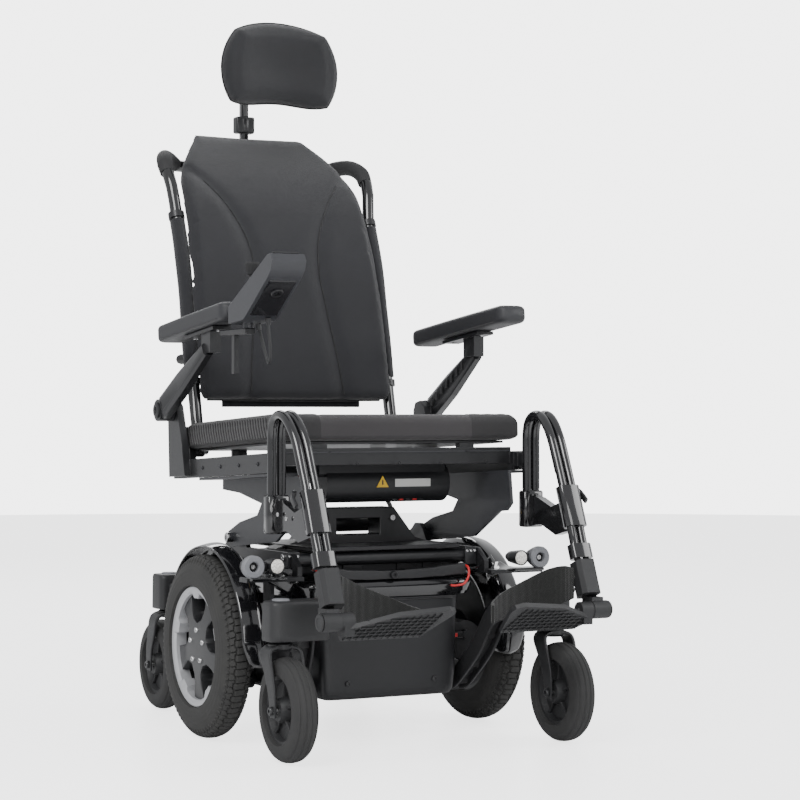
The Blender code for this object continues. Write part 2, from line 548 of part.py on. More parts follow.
def seat_module(seat):
    """Seat frame with its pan, cushion, tilt brackets and tilt motor."""
    inner, outer = RAIL_X - RAIL_W / 2, RAIL_X + RAIL_W / 2
    frame = seat_block(-inner - 0.002, inner + 0.002, -0.212, -0.190, -0.022, 0.008)
    pieces = [seat_block(-inner - 0.002, inner + 0.002, 0.150, 0.172, -0.030, -0.004),
              seat_block(-inner + 0.01, inner - 0.01, -0.205, 0.160, PAN_LIFT, PAN_LIFT + PAN_T)]
    for x in (-0.150, 0.150):
        pieces.append(seat_block(x - 0.015, x + 0.015, -0.208, -0.192, 0.006, PAN_LIFT + 0.001))
        pieces.append(seat_block(x - 0.015, x + 0.015, 0.1485, 0.158, -0.005, PAN_LIFT + 0.001))
    for side in (-1, 1):
        def span(low, high):
            return sorted((side * low, side * high))
        rail, ear = span(inner, outer), span(BACK_TUBE_X + BACK_TUBE_R + 0.004, inner + 0.002)
        arm_ear, hook = span(outer - 0.001, outer + 0.0135), span(inner + 0.001, outer - 0.001)
        pieces.append(seat_block(*rail, RAIL_FRONT, RAIL_REAR, -RAIL_H, 0))
        pieces.append(seat_block(*hook, RAIL_FRONT - 0.013, RAIL_FRONT + 0.004, -RAIL_H + 0.006, -0.004))
        pieces.append(plate([(0.175, 0.478), (0.226, 0.474), (0.224, BACK_HINGE_Z + 0.012),
                             (0.212, BACK_HINGE_Z + 0.020), (0.198, BACK_HINGE_Z + 0.020),
                             (0.182, BACK_HINGE_Z + 0.006)], abs(ear[1] - ear[0]), (ear[0] + ear[1]) / 2))
        pieces.append(plate([(0.125, 0.476), (0.205, 0.472), (0.212, ARM_HINGE_Z),
                             (0.204, ARM_HINGE_Z + 0.016),
                             (0.184, ARM_HINGE_Z + 0.020), (0.168, ARM_HINGE_Z + 0.008), (0.140, 0.535)],
                            0.0145, side * (outer + 0.006)))
    finish(fuse(frame, *pieces), "seat_frame", "satin_black", seat)

    lift = PAN_LIFT + PAN_T + GAP
    cushion = seat_block(-CUSHION_HALF, CUSHION_HALF, CUSHION_FRONT, CUSHION_REAR, lift, lift + CUSHION_T,
                         0.012, 2)
    finish(cushion, "seat_cushion", "fabric", seat)

    bracket_x, bracket_w = PLATE_X + PLATE_W + 0.010, 0.006
    under = -RAIL_H - 0.0012
    outline = [(0.100, on_seat(0.100, under)), (-0.272, on_seat(-0.272, under)), (-0.280, 0.430),
               (-0.262, 0.416),
               (-0.238, 0.414), (-0.143, 0.3635), (0.030, 0.347), (0.060, 0.344), (0.075, 0.356),
               (0.074, 0.372),
               (0.020, 0.392), (-0.060, 0.408), (-0.080, 0.430), (0.020, 0.446), (0.100, 0.450)]
    bracket = plate(outline, bracket_w, bracket_x)
    flange = seat_block(bracket_x, RAIL_X + 0.008, -0.232, 0.095, under - 0.0045, under + 0.0004)
    pin = rod((PLATE_X + PLATE_W + 0.0005 + GAP, TILT_PIVOT_Y, TILT_PIVOT_Z),
              (bracket_x + 0.010, TILT_PIVOT_Y, TILT_PIVOT_Z),
              0.009, sides=16)
    pair(fuse(bracket, flange, pin), "tilt_bracket", "grey_steel", (seat, seat))

    left = 0.154 - ACTUATOR_L
    motor = fuse(rod((left, ACTUATOR_Y, ACTUATOR_Z), (0.154, ACTUATOR_Y, ACTUATOR_Z), ACTUATOR_R, sides=28),
                 box((left - 0.02, ACTUATOR_Y - 0.030, ACTUATOR_Z + 0.012),
                     (0.150, ACTUATOR_Y + 0.040, ACTUATOR_Z + 0.042), 0.006, 1))
    finish(motor, "tilt_motor", "satin_black", seat)


def back_line(z):
    """Front face of the back cushion at its edge, as y for a height z."""
    if z < 1.0:
        return 0.198 + (z - 0.617) * 0.205 + max(z - 0.828, 0.0) ** 2 * 0.75
    return back_line(0.9999) + (z - 1.0) * 0.50 + (z - 1.0) ** 2 * 2.2


def back_section(z, half):
    """Eight-sided outline of the back cushion: thick between the tubes, thin in front of them."""
    y = back_line(z)
    lean = (back_line(z + 0.01) - back_line(z - 0.01)) / 0.02
    between = min(BACK_TUBE_X - BACK_TUBE_R - 0.004, half - 0.014)
    thick = BACK_T - 0.025 * max(z - 1.0, 0.0) / 0.168
    edge = [(-half, 0.006), (-between, 0.0), (between, 0.0), (half, 0.006), (half, BACK_EDGE_T),
            (between, BACK_EDGE_T + 0.001), (between - 0.012, thick), (-between + 0.012, thick),
            (-between, BACK_EDGE_T + 0.001), (-half, BACK_EDGE_T)]
    return [(x, y + depth, z - depth * lean * 0.8) for x, depth in edge]


def back_module(seat):
    """Reclining back: tube frame with push bar, cushion, headrest post and pad."""
    back = pivot("back_recline", (0, BACK_HINGE_Y, BACK_HINGE_Z), seat)
    behind = BACK_EDGE_T + 0.0035 + BACK_TUBE_R
    side_path = [(BACK_TUBE_X, BACK_HINGE_Y, BACK_HINGE_Z)]
    side_path += [(BACK_TUBE_X, back_line(z) + behind, z) for z in (0.64, 0.76, 0.88, 0.98)]
    side_path += [(BACK_TUBE_X + 0.006, 0.334, 1.045), (BACK_TUBE_X + 0.008, 0.362, 1.088),
                  (0.205, 0.405, 1.110), (0.165, BAR_Y - 0.008, BAR_Z)]
    full_path = side_path + [(0.10, BAR_Y, BAR_Z), (0.0, BAR_Y, BAR_Z), (-0.10, BAR_Y, BAR_Z)]
    full_path += [(-x, y, z) for x, y, z in reversed(side_path)]
    frame = tube(full_path, BACK_TUBE_R, 2, 2)
    receiver = box((-0.016, BAR_Y, BAR_Z - 0.035), (0.016, POST_Y + POST_W / 2 + 0.0045, BAR_Z + 0.030),
                   0.002, 1)
    slot_half = POST_W / 2 + RUN
    slot = box((-slot_half, POST_Y - slot_half, BAR_Z - 0.06),
               (slot_half, POST_Y + slot_half, BAR_Z + 0.08))
    spine_y = back_line(0.70) + behind
    half_spine = [(BACK_TUBE_X, spine_y, 0.70), (BACK_TUBE_X - 0.006, spine_y + 0.022, 0.70),
                  (BACK_TUBE_X - 0.022, spine_y + 0.038, 0.70)]
    spine = tube(half_spine + [(-x, y, z) for x, y, z in reversed(half_spine)], 0.010, 2, 2)
    lugs = []
    for side in (-1, 1):
        x = side * BACK_TUBE_X
        lugs.append(rod((x - 0.0155, BACK_HINGE_Y, BACK_HINGE_Z),
                        (x + 0.0155, BACK_HINGE_Y, BACK_HINGE_Z), 0.016))
    finish(fuse(frame, spine, *lugs, cut(receiver, slot)), "back_frame", "gloss_black", back)

    heights = ((0.617, 0.200), (0.64, 0.2135), (0.76, 0.2125), (0.88, 0.208), (0.98, 0.202), (1.047, 0.196),
               (1.09, 0.180), (1.13, 0.150), (1.168, 0.120))
    finish(loft([back_section(z, half) for z, half in heights]), "back_cushion", "fabric", back)

    post = pivot("headrest_height", (0, POST_Y, BAR_Z), back)
    half = POST_W / 2
    turn_y, turn_z = HEADREST_Y + 0.062, HEADREST_Z - 0.018
    upright = box((-half, POST_Y - half, BAR_Z - 0.045), (half, POST_Y + half, HEADREST_Z - 0.045), 0.001,
                  1)
    link_arm = tube([(0, POST_Y, HEADREST_Z - 0.052), (0, POST_Y - 0.030, HEADREST_Z - 0.030),
                     (0, turn_y, turn_z)],
                    0.0072, 2)
    ball = rod((-0.012, turn_y, turn_z), (0.012, turn_y, turn_z), 0.011, sides=16)
    finish(fuse(upright, link_arm, ball), "headrest_post", "satin_black", post)

    pad_pivot = pivot("headrest_tilt", (0, turn_y, turn_z), post)
    rings = []
    for i in range(9):
        angle = pi * i / 8
        across = -cos(angle) * HEADREST_HALF
        swell = max(sin(angle), 0.0) ** 0.45
        tall, deep = HEADREST_H / 2 * (0.30 + 0.70 * swell), HEADREST_T / 2 * (0.25 + 0.75 * swell)
        wrap = -0.020 * (across / HEADREST_HALF) ** 2
        rings.append([(across, HEADREST_Y + wrap + deep * cos(t) * 0.9,
                       HEADREST_Z + tall * copysign(abs(sin(t)) ** 0.7, sin(t)))
                      for t in (2 * pi * k / 16 for k in range(16))])
    pad = loft(rings)
    for side in (-1, 1):
        pad = fuse(pad, box(sorted((side * 0.0135, side * 0.0175))[:1] + [HEADREST_Y + 0.01,
                                                                          turn_z - 0.010],
                            sorted((side * 0.0135, side * 0.0175))[1:] + [turn_y + 0.008, turn_z + 0.010]))
    finish(pad, "headrest_pad", "fabric", pad_pivot)


def armrests(seat):
    """Flip-up armrest struts and pads; the right pad is shorter, with the controller in front."""
    hinges = pivots("armrest", (ARM_HINGE_X, ARM_HINGE_Y, ARM_HINGE_Z), (seat, seat))
    strut = beam([(ARM_HINGE_X + 0.003, ARM_HINGE_Y - 0.006, ARM_HINGE_Z + 0.004, STRUT_W / 2,
                   STRUT_H * 0.52),
                  (ARM_HINGE_X, ARM_HINGE_Y - 0.09, ARM_HINGE_Z + 0.050, STRUT_W / 2, STRUT_H / 2),
                  (ARM_HINGE_X - 0.005, ARM_TOP_Y, ARM_TOP_Z - 0.004, STRUT_W * 0.42, STRUT_H * 0.30)])
    barrel = rod((RAIL_X + RAIL_W / 2 + 0.0139, ARM_HINGE_Y, ARM_HINGE_Z),
                 (ARM_HINGE_X + 0.016, ARM_HINGE_Y, ARM_HINGE_Z),
                 0.021, sides=24)
    under = PAD_Z - PAD_T / 2 - GAP
    head = box((PAD_X - 0.018, -0.055, under - 0.006), (PAD_X + 0.018, 0.085, under), 0.0, 1, -PAD_TILT,
               (PAD_X, 0, PAD_Z))
    neck = box((PAD_X - 0.010, -0.030, ARM_TOP_Z - 0.010), (PAD_X + 0.012, 0.012, under - 0.001))
    pair(fuse(strut, barrel, head, neck), "arm_strut", "satin_black", hinges)
    for side, length, parent, name in ((1, PAD_LENGTH_LEFT, hinges[0], "left"),
                                       (-1, PAD_LENGTH_RIGHT, hinges[1], "right")):
        pad = box((side * PAD_X - PAD_W / 2, PAD_REAR - length, PAD_Z - PAD_T / 2),
                  (side * PAD_X + PAD_W / 2, PAD_REAR, PAD_Z + PAD_T / 2), 0.010, 2, -PAD_TILT,
                  (side * PAD_X, 0, PAD_Z))
        finish(pad, "armpad_" + name, "matte_black", parent)
    return hinges[1]


def control_top(y):
    """Height of the controller's top face at y."""
    return 0.776 + (-0.140 - y) * 0.485


def controller(arm):
    """Swing-away joystick box with its stick, power button, mount and lead."""
    x = -CONTROL_X
    mount = box((x - 0.010, SWING_Y - 0.010, 0.7345), (x + 0.010, -0.062, 0.7445), 0.001, 1)
    stub = box((x - 0.005, -0.118, 0.665), (x + 0.005, -0.106, 0.740))
    finish(fuse(mount, stub), "controller_mount", "satin_black", arm)

    swing = pivot("controller_swing", (x, SWING_Y, 0.745), arm)
    outline = [(-0.140, 0.752), (-0.140, control_top(-0.140)), (-0.322, control_top(-0.322)),
               (-0.336, 0.866),
               (-0.344, 0.854), (-0.338, 0.838), (-0.322, 0.824), (-0.228, 0.762), (-0.216, 0.757)]
    body = plate(outline, CONTROL_W, x)
    wide, rear = CONTROL_W / 2, outline[0][0]
    chamfer = ((wide + 0.002, rear - 0.014), (wide + 0.002, rear + 0.002), (wide - 0.014, rear + 0.002),
               (wide - 0.014, rear), (wide, rear - 0.014))
    corners = [loft([[(x + side * u, y, z) for u, y in chamfer] for z in (0.70, 0.80)]) for side in (1, -1)]
    lean = atan2(0.485, 1.0)
    up = Vector((0, sin(lean), cos(lean)))
    button_y, stick_y = -0.285, -0.190
    button_at = Vector((x, button_y, control_top(button_y)))
    pocket = rod(button_at - up * (BUTTON_H + BUTTON_TRAVEL - 0.0015), button_at + up * 0.01,
                 BUTTON_R + RUN, sides=16)
    stick_at = Vector((x, stick_y, control_top(stick_y)))
    well = rod(stick_at - up * 0.013, stick_at + up * 0.01, 0.020, 0.024, sides=20)
    foot = rod((x, SWING_Y, 0.7449), (x, SWING_Y, 0.7560), 0.0095, sides=16)
    finish(fuse(cut(body, pocket, well, *corners), foot), "controller_body", "grey_steel", swing)

    button = pivot("power_button", button_at, swing)
    cap = rod(button_at - up * (BUTTON_H - 0.0015), button_at + up * 0.0015, BUTTON_R, sides=16)
    finish(cap, "power_button", "grey_plastic", button)

    centre = stick_at - up * 0.004
    tilt_x = pivot("joystick_fore_aft", centre, swing)
    ring = turned([(0.0135, 0.002), (0.0135, -0.002), (0.0085, -0.002), (0.0085, 0.002)], centre, 20)
    flat = Matrix.Translation(centre) @ Matrix.Rotation(-lean, 4, "X") @ Matrix.Rotation(pi / 2, 4, "Y")
    ring.data.transform(flat @ Matrix.Translation(-centre))
    finish(ring, "joystick_gimbal", "satin_black", tilt_x)
    tilt_y = pivot("joystick_side", centre, tilt_x)
    tip = centre + Vector((0, 0.004, 0.050))
    stick = fuse(rod(centre - up * 0.004, tip, STICK_R, sides=12),
                 rod(centre + up * 0.0085, centre + up * 0.016, 0.015, 0.007),
                 rod(tip - Vector((0, 0, 0.008)), tip + Vector((0, 0, 0.014)), KNOB_R * 0.75, KNOB_R))
    finish(stick, "joystick_stick", "matte_black", tilt_y)

    lead = [(x + 0.012, -0.186, 0.7518), (x + 0.014, -0.189, 0.738), (x + 0.018, -0.196, 0.712),
            (x + 0.020, -0.205, 0.691),
            (x + 0.020, -0.213, 0.683), (x + 0.019, -0.222, 0.692), (x + 0.016, -0.228, 0.715),
            (x + 0.013, -0.229, 0.738),
            (x + 0.012, -0.2285, 0.7595)]
    finish(tube(lead, 0.0028, 2, 2), "controller_lead", "rubber", swing)


def legrests(seat):
    """Swing-away hangers, telescoping leg tubes, footplates and heel loops."""
    swings = pivots("legrest_swing", (POST_X, LEG_POST_Y, 0.5), (seat, seat))
    collar, clamp_top, clamp_low = (-0.437, 0.349), (-0.391, 0.463), (-0.420, 0.392)
    tubes = []
    for shift in (-LEG_TUBE_SPREAD / 2, LEG_TUBE_SPREAD / 2):
        x = POST_X + shift
        tubes.append(tube([(x, LEG_POST_Y, 0.430), (x, LEG_POST_Y, 0.50), (x, LEG_POST_Y - 0.001, 0.560),
                           (x, -0.272, 0.585), (x - 0.001, -0.298, 0.591), (x - 0.002, -0.325, 0.578),
                           (x - 0.003, -0.352, 0.545), (x - 0.004, *clamp_top), (x - 0.006, *collar)],
                           LEG_TUBE_R, 2, 2))
    down = Vector((0, collar[0] - clamp_top[0], collar[1] - clamp_top[1])).normalized()
    forward = Vector((0, down.z, -down.y))

    def block(x, centre, half_w, half_d, half_l):
        """A rounded sleeve round the two tubes, along them."""
        corners = ((-1, -0.55), (-0.7, -1), (0.7, -1), (1, -0.55), (1, 0.55), (0.7, 1), (-0.7, 1),
                   (-1, 0.55))
        return loft([[Vector((x + u * half_w, *centre)) + forward * (v * half_d) + down * along for u,
                      v in corners]
                     for along in (-half_l, half_l)])

    sleeve = LEG_TUBE_R + 0.0035
    wide = LEG_TUBE_SPREAD / 2 + sleeve
    middle = ((clamp_top[0] + clamp_low[0]) / 2, (clamp_top[1] + clamp_low[1]) / 2)
    clamp = block(POST_X - 0.0045, middle, wide, sleeve, 0.038)
    web = plate([(LEG_POST_Y + 0.010, 0.385), (LEG_POST_Y + 0.010, 0.450), (-0.300, 0.440),
                 (-0.345, 0.425), (-0.392, 0.440),
                 (-0.408, 0.386), (-0.360, 0.375), (-0.310, 0.392)], 0.016, POST_X - 0.002)
    base_block = box((POST_X - wide, LEG_POST_Y - sleeve, 0.385),
                     (POST_X + wide, LEG_POST_Y + sleeve, 0.452), 0.003, 1)
    end_block = block(POST_X - 0.0058, (collar[0], collar[1]), wide, sleeve, 0.013)
    bores = []
    rods = []
    rod_x = []
    for shift in (-LEG_TUBE_SPREAD / 2, LEG_TUBE_SPREAD / 2):
        base_at = Vector((POST_X - 0.0058 + shift, *collar))
        rod_x.append(base_at)
        bores.append(rod(base_at - down * (LEG_TRAVEL + 0.024), base_at + down * 0.02, LEG_ROD_R + RUN,
                         sides=12))
    hanger = cut(fuse(tubes[0], tubes[1], clamp, web, base_block, end_block), *bores)
    pair(hanger, "legrest_hanger", "gloss_black", swings)

    slides = pivots("leg_length", (POST_X, *collar), swings)
    for base_at in rod_x:
        rods.append(rod(base_at - down * (LEG_TRAVEL + 0.020), base_at + down * 0.030, LEG_ROD_R, sides=12))
    shin = Vector((0, *collar)) + down * 0.050
    lower = block(POST_X - 0.007, (shin.y, shin.z), 0.019, 0.019, 0.031)
    barrel = rod((POST_X - 0.012, FOOT_AXIS_Y, FOOT_AXIS_Z), (POST_X + 0.021, FOOT_AXIS_Y, FOOT_AXIS_Z),
                 FOOT_BARREL_R, sides=24)
    ankle = box((POST_X - 0.011, FOOT_AXIS_Y - 0.004, FOOT_AXIS_Z - 0.010),
                (POST_X + 0.012, FOOT_AXIS_Y + 0.030, FOOT_AXIS_Z + 0.022))
    pair(fuse(lower, rods[0], rods[1], barrel, ankle), "leg_tube", "matte_black", slides)

    feet = pivots("footplate", (POST_X - 0.03, FOOT_AXIS_Y, FOOT_AXIS_Z), slides)
    knuckle_out = POST_X - 0.0125
    knuckle = rod((knuckle_out - 0.024, FOOT_AXIS_Y, FOOT_AXIS_Z),
                  (knuckle_out, FOOT_AXIS_Y, FOOT_AXIS_Z), FOOT_BARREL_R - 0.001)
    toe = Vector((0, -cos(FOOT_TILT), sin(FOOT_TILT)))
    lift = Vector((0, sin(FOOT_TILT), cos(FOOT_TILT)))
    heel = Vector((0, -0.449, 0.214))
    outline = [(0.080, 0.0), (0.228, 0.0), (knuckle_out - 0.004, 0.022), (knuckle_out - 0.004, 0.046),
               (0.214, 0.062),
               (0.160, 0.098), (0.072, 0.114), (0.058, 0.106), (0.056, 0.090)]
    plate_solid = loft([[Vector((x, 0, 0)) + heel + toe * along + lift * high for x, along in outline]
                        for high in (0.0, PLATE_T)])
    neck = box((knuckle_out - 0.022, FOOT_AXIS_Y - 0.014, FOOT_AXIS_Z - 0.024),
               (knuckle_out - 0.004, FOOT_AXIS_Y + 0.008, FOOT_AXIS_Z))
    pair(fuse(plate_solid, knuckle, neck), "footplate", "matte_black", feet)

    # heel loop: stations (x, y, lowest z, highest z) from the leg tube round to the inner edge of the plate
    stations = [(0.2275, -0.452, 0.268, 0.322), (0.222, -0.428, 0.258, 0.325),
                (0.200, -0.408, 0.244, 0.318),
                (0.160, -0.400, 0.236, 0.300), (0.115, -0.404, 0.232, 0.282), (0.085, -0.418, 0.230, 0.268),
                (0.072, -0.440, 0.229, 0.262)]
    bm = bmesh.new()
    rows = [[bm.verts.new((x, y, z)) for z in (low, (low + high) / 2, high)] for x, y, low,
            high in stations]
    for first, second in zip(rows, rows[1:]):
        for i in range(2):
            bm.faces.new((first[i], second[i], second[i + 1], first[i + 1]))
    loop = mesh_object("heel_loop", bm)
    wall = loop.modifiers.new("wall", "SOLIDIFY")
    wall.thickness = 0.005
    wall.offset = 0.0
    pair(flatten(loop), "heel_loop", "matte_black", feet)


# ---------------------------------------------------------------- the chair
def build():
    """Make every part, then bring the origin under the middle of the chair."""
    base = pivot("base", (0, 0, 0))
    chassis(base)
    fittings(base)
    drive_wheels(base)
    suspension_arms("front", -1, FRONT_STEM_X, FRONT_STEM_Y, base)
    suspension_arms("rear", 1, REAR_STEM_X, REAR_STEM_Y, base)
    seat = pivot("seat_tilt", (0, TILT_PIVOT_Y, TILT_PIVOT_Z), base)
    seat_module(seat)
    back_module(seat)
    controller(armrests(seat))
    legrests(seat)
    bpy.context.view_layer.update()
    solids = [obj for obj in parts.objects if obj.type == "MESH"]
    corners = [obj.matrix_world @ vertex.co for obj in solids for vertex in obj.data.vertices]
    for axis in (0, 1):
        low, high = min(c[axis] for c in corners), max(c[axis] for c in corners)
        base.location[axis] = -(low + high) / 2
    base.location.z = -min(corner.z for corner in corners)
    bpy.context.view_layer.update()
    print("origin shift", [round(value, 6) for value in base.location], "parts", len(solids))


build()
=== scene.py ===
"""Looks of a mid-wheel drive power wheelchair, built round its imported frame.

New pieces are surfaces worked out as numpy arrays. Design coordinates are metres from
the ground point under the drive axle; at() moves them into the frame.
"""
import json
import math
import bmesh
import bpy
import numpy as np
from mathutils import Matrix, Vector


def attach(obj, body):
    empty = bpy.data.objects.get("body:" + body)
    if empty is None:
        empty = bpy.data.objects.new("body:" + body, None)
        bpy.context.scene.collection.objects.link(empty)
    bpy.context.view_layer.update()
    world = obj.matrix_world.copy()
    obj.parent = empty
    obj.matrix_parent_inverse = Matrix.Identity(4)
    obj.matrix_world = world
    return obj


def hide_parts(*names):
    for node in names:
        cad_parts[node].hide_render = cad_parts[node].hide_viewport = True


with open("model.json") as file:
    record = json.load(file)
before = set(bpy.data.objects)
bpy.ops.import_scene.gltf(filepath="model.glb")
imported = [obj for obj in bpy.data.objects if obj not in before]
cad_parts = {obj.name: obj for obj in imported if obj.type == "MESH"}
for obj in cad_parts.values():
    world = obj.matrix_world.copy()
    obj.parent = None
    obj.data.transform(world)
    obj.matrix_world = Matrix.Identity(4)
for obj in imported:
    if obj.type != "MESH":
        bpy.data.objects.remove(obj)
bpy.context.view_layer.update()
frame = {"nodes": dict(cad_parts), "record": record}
joints = {joint["name"]: joint for joint in frame["record"]["behaviour"]["joints"]}
AXLE_X, AXLE_Y, AXLE_Z = joints["drive_wheel_left"]["pos_m"]
ORIGIN = np.array([0.0, AXLE_Y, 0.0])
SIDES = (("left", 1.0), ("right", -1.0))


# ---------------------------------------------------------------- shader maths
class Value:
    """A shader socket that takes part in Python expressions."""

    def __init__(self, look, socket):
        self.look, self.socket = look, socket

    def math(self, operation, first, second=None):
        inputs = {0: first} if second is None else {0: first, 1: second}
        return self.look.node("Math", inputs, operation=operation)[0]

    def __add__(self, other): return self.math("ADD", self, other)
    def __radd__(self, other): return self.math("ADD", other, self)
    def __sub__(self, other): return self.math("SUBTRACT", self, other)
    def __rsub__(self, other): return self.math("SUBTRACT", other, self)
    def __mul__(self, other): return self.math("MULTIPLY", self, other)
    def __rmul__(self, other): return self.math("MULTIPLY", other, self)
    def sine(self): return self.math("SINE", self)


class Look:
    """A material made of nodes: constants sit on the shader's own sockets."""

    def __init__(self, name, **constants):
        self.material = bpy.data.materials.new(name)
        self.material.use_nodes = True
        self.tree = self.material.node_tree
        self.shader = self.tree.nodes["Principled BSDF"]
        for socket, value in constants.items():
            self.shader.inputs[socket.replace("_", " ")].default_value = value
        self.place = self.node("TexCoord", {})["Object"]

    def node(self, kind, inputs, ramp=None, **settings):
        """Add a node: settings first, then the values or links of its sockets; gives its outputs."""
        made = self.tree.nodes.new("ShaderNode" + kind)
        for setting, value in settings.items():
            setattr(made, setting, value)
        if ramp:
            for element, (stop, colour) in zip(made.color_ramp.elements, ramp):
                element.position, element.color = stop, (*colour, 1.0)
        for key, value in inputs.items():
            if isinstance(value, Value):
                self.tree.links.new(value.socket, made.inputs[key])
            else:
                made.inputs[key].default_value = value
        outputs = {socket.name: Value(self, socket) for socket in made.outputs}
        outputs.update({i: Value(self, socket) for i, socket in enumerate(made.outputs)})
        return outputs

    def noise(self, scale, detail=3.0):
        return self.node("TexNoise", {"Vector": self.place, "Scale": scale, "Detail": detail})["Fac"]

    def axes(self, place=None):
        split = self.node("SeparateXYZ", {0: place or self.place})
        return split["X"], split["Y"], split["Z"]

    def between(self, low, high, mask):
        """A colour from low to high as the mask goes from 0 to 1."""
        return self.node("ValToRGB", {"Fac": mask}, ramp=((0.0, low), (1.0, high)))["Color"]

    def bump(self, height, distance, strength=1.0):
        normal = self.node("Bump", {"Height": height, "Distance": distance, "Strength": strength})["Normal"]
        self.feed("Normal", normal)

    def feed(self, socket, value):
        self.tree.links.new(value.socket, self.shader.inputs[socket])


def coated(name, colour, rough, grain=0.0, grain_scale=900.0, coat=0.0, metal=0.0, wear=0.05):
    """Paint or moulded plastic: a fine grain, smudges in the gloss and a slight colour drift."""
    look = Look(name, Metallic=metal, Coat_Weight=coat, Coat_Roughness=0.06)
    cloud = look.noise(14.0)
    low = tuple(max(c * (1 - 0.16), 0.0) for c in colour)
    high = tuple(min(c * (1 + 0.16), 1.0) for c in colour)
    look.feed("Base Color", look.between(low, high, cloud))
    look.feed("Roughness", rough - wear + cloud * (2 * wear))
    if grain:
        look.bump(look.noise(grain_scale, 2.0), grain)
    return look.material


def woven(name, colour, pitch=0.0016, depth=0.0004, drift=0.25, rough=0.9):
    """Cloth: two crossing sets of threads, loft of the yarn and a slow change of shade."""
    look = Look(name, Roughness=rough, Sheen_Weight=0.25, Sheen_Roughness=0.5)
    look.shader.inputs["Specular IOR Level"].default_value = 0.25
    x, y, z = look.axes()
    turns = 2 * math.pi / pitch
    across = (x * turns).sine()
    along = ((z + y * 0.6) * turns).sine()
    thread = across * along
    cloud = look.noise(9.0)
    fuzz = look.noise(700.0)
    mask = cloud * 0.65 + fuzz * 0.25 + thread * 0.10
    low = tuple(c * (1 - drift) for c in colour)
    high = tuple(c * (1 + drift) for c in colour)
    look.feed("Base Color", look.between(low, high, mask))
    look.bump(thread * 0.5 + fuzz * 0.7, depth)
    return look.material


def rubber(name, colour, dusty):
    """Tyre rubber: fine pits, and dust that gathers in patches."""
    look = Look(name)
    dust = look.noise(28.0, 5.0)
    look.feed("Base Color", look.between(colour, dusty, dust * 1.5 - 0.3))
    look.feed("Roughness", 0.62 + dust * 0.25)
    look.bump(look.noise(500.0, 3.0), 0.0003)
    return look.material


def lens(name):
    """A clear lamp lens over a faceted white reflector."""
    look = Look(name, Roughness=0.12, Coat_Weight=1.0)
    cells = look.node("TexVoronoi", {"Vector": look.place, "Scale": 330.0}, feature="F1")
    look.feed("Base Color", look.between((0.95, 0.93, 0.88), (0.55, 0.52, 0.48), cells["Distance"]))
    look.feed("Emission Color", look.between((0.9, 0.88, 0.82), (0.4, 0.38, 0.34), cells["Distance"]))
    look.shader.inputs["Emission Strength"].default_value = 0.25
    look.bump(cells["Distance"], 0.0012)
    return look.material


LOOKS = {
    "satin_black": coated("satin_black", (0.0120, 0.0123, 0.0136), 0.36, 0.00012, 1100.0, 0.15),
    "cast_black": coated("cast_black", (0.0190, 0.0193, 0.0205), 0.46, 0.00025, 800.0),
    "gloss_black": coated("gloss_black", (0.006, 0.006, 0.007), 0.10, 0.00002, 200.0, 1.0, wear=0.03),
    "gloss_tube": coated("gloss_tube", (0.008, 0.008, 0.009), 0.14, 0.00003, 500.0, 0.8, wear=0.04),
    "shell_plastic": coated("shell_plastic", (0.0130, 0.0133, 0.0150), 0.40, 0.0001, 1500.0),
    "matte_plastic": coated("matte_plastic", (0.0185, 0.0188, 0.0200), 0.52, 0.0003, 1300.0),
    "grey_steel": coated("grey_steel", (0.029, 0.030, 0.034), 0.42, 0.0001, 900.0, 0.1),
    "armpad_foam": coated("armpad_foam", (0.0250, 0.0255, 0.0285), 0.48, 0.0003, 1600.0),
    "grip_foam": coated("grip_foam", (0.019, 0.019, 0.020), 0.70, 0.0005, 900.0),
    "control_shell": coated("control_shell", (0.038, 0.039, 0.044), 0.38, 0.00012, 1400.0),
    "control_gloss": coated("control_gloss", (0.012, 0.012, 0.014), 0.12, 0.00002, 300.0, 1.0, wear=0.02),
    "silver": coated("silver", (0.50, 0.505, 0.52), 0.38, 0.00005, 700.0, metal=0.35),
    "bright_steel": coated("bright_steel", (0.62, 0.62, 0.62), 0.25, 0.00005, 900.0, metal=1.0),
    "roller_grey": coated("roller_grey", (0.20, 0.205, 0.22), 0.55, 0.0002, 1200.0),
    "red_plastic": coated("red_plastic", (0.50, 0.02, 0.02), 0.45, 0.0001, 900.0),
    "yellow_label": coated("yellow_label", (0.75, 0.46, 0.02), 0.45, 0.00004, 900.0),
    "white_label": coated("white_label", (0.62, 0.62, 0.60), 0.50, 0.00004, 900.0),
    "back_fabric": woven("back_fabric", (0.0230, 0.0233, 0.0265)),
    "seat_fabric": woven("seat_fabric", (0.0400, 0.0370, 0.0390)),
    "rib_fabric": woven("rib_fabric", (0.0250, 0.0240, 0.0250), 0.0022),
    "headrest_fabric": woven("headrest_fabric", (0.0235, 0.0238, 0.0262), 0.0013),
    "loop_fabric": woven("loop_fabric", (0.022, 0.0225, 0.0215), 0.0030, 0.0010, 0.4),
    "seam_thread": woven("seam_thread", (0.008, 0.008, 0.009), 0.0008),
    "tyre_rubber": rubber("tyre_rubber", (0.0180, 0.0180, 0.0178), (0.0420, 0.0410, 0.0385)),
    "caster_rubber": rubber("caster_rubber", (0.0210, 0.0210, 0.0212), (0.034, 0.0335, 0.033)),
    "lamp_lens": lens("lamp_lens"),
}


# ---------------------------------------------------------------- surfaces
def at(points):
    """Design coordinates to frame coordinates."""
    return np.asarray(points, float) + ORIGIN


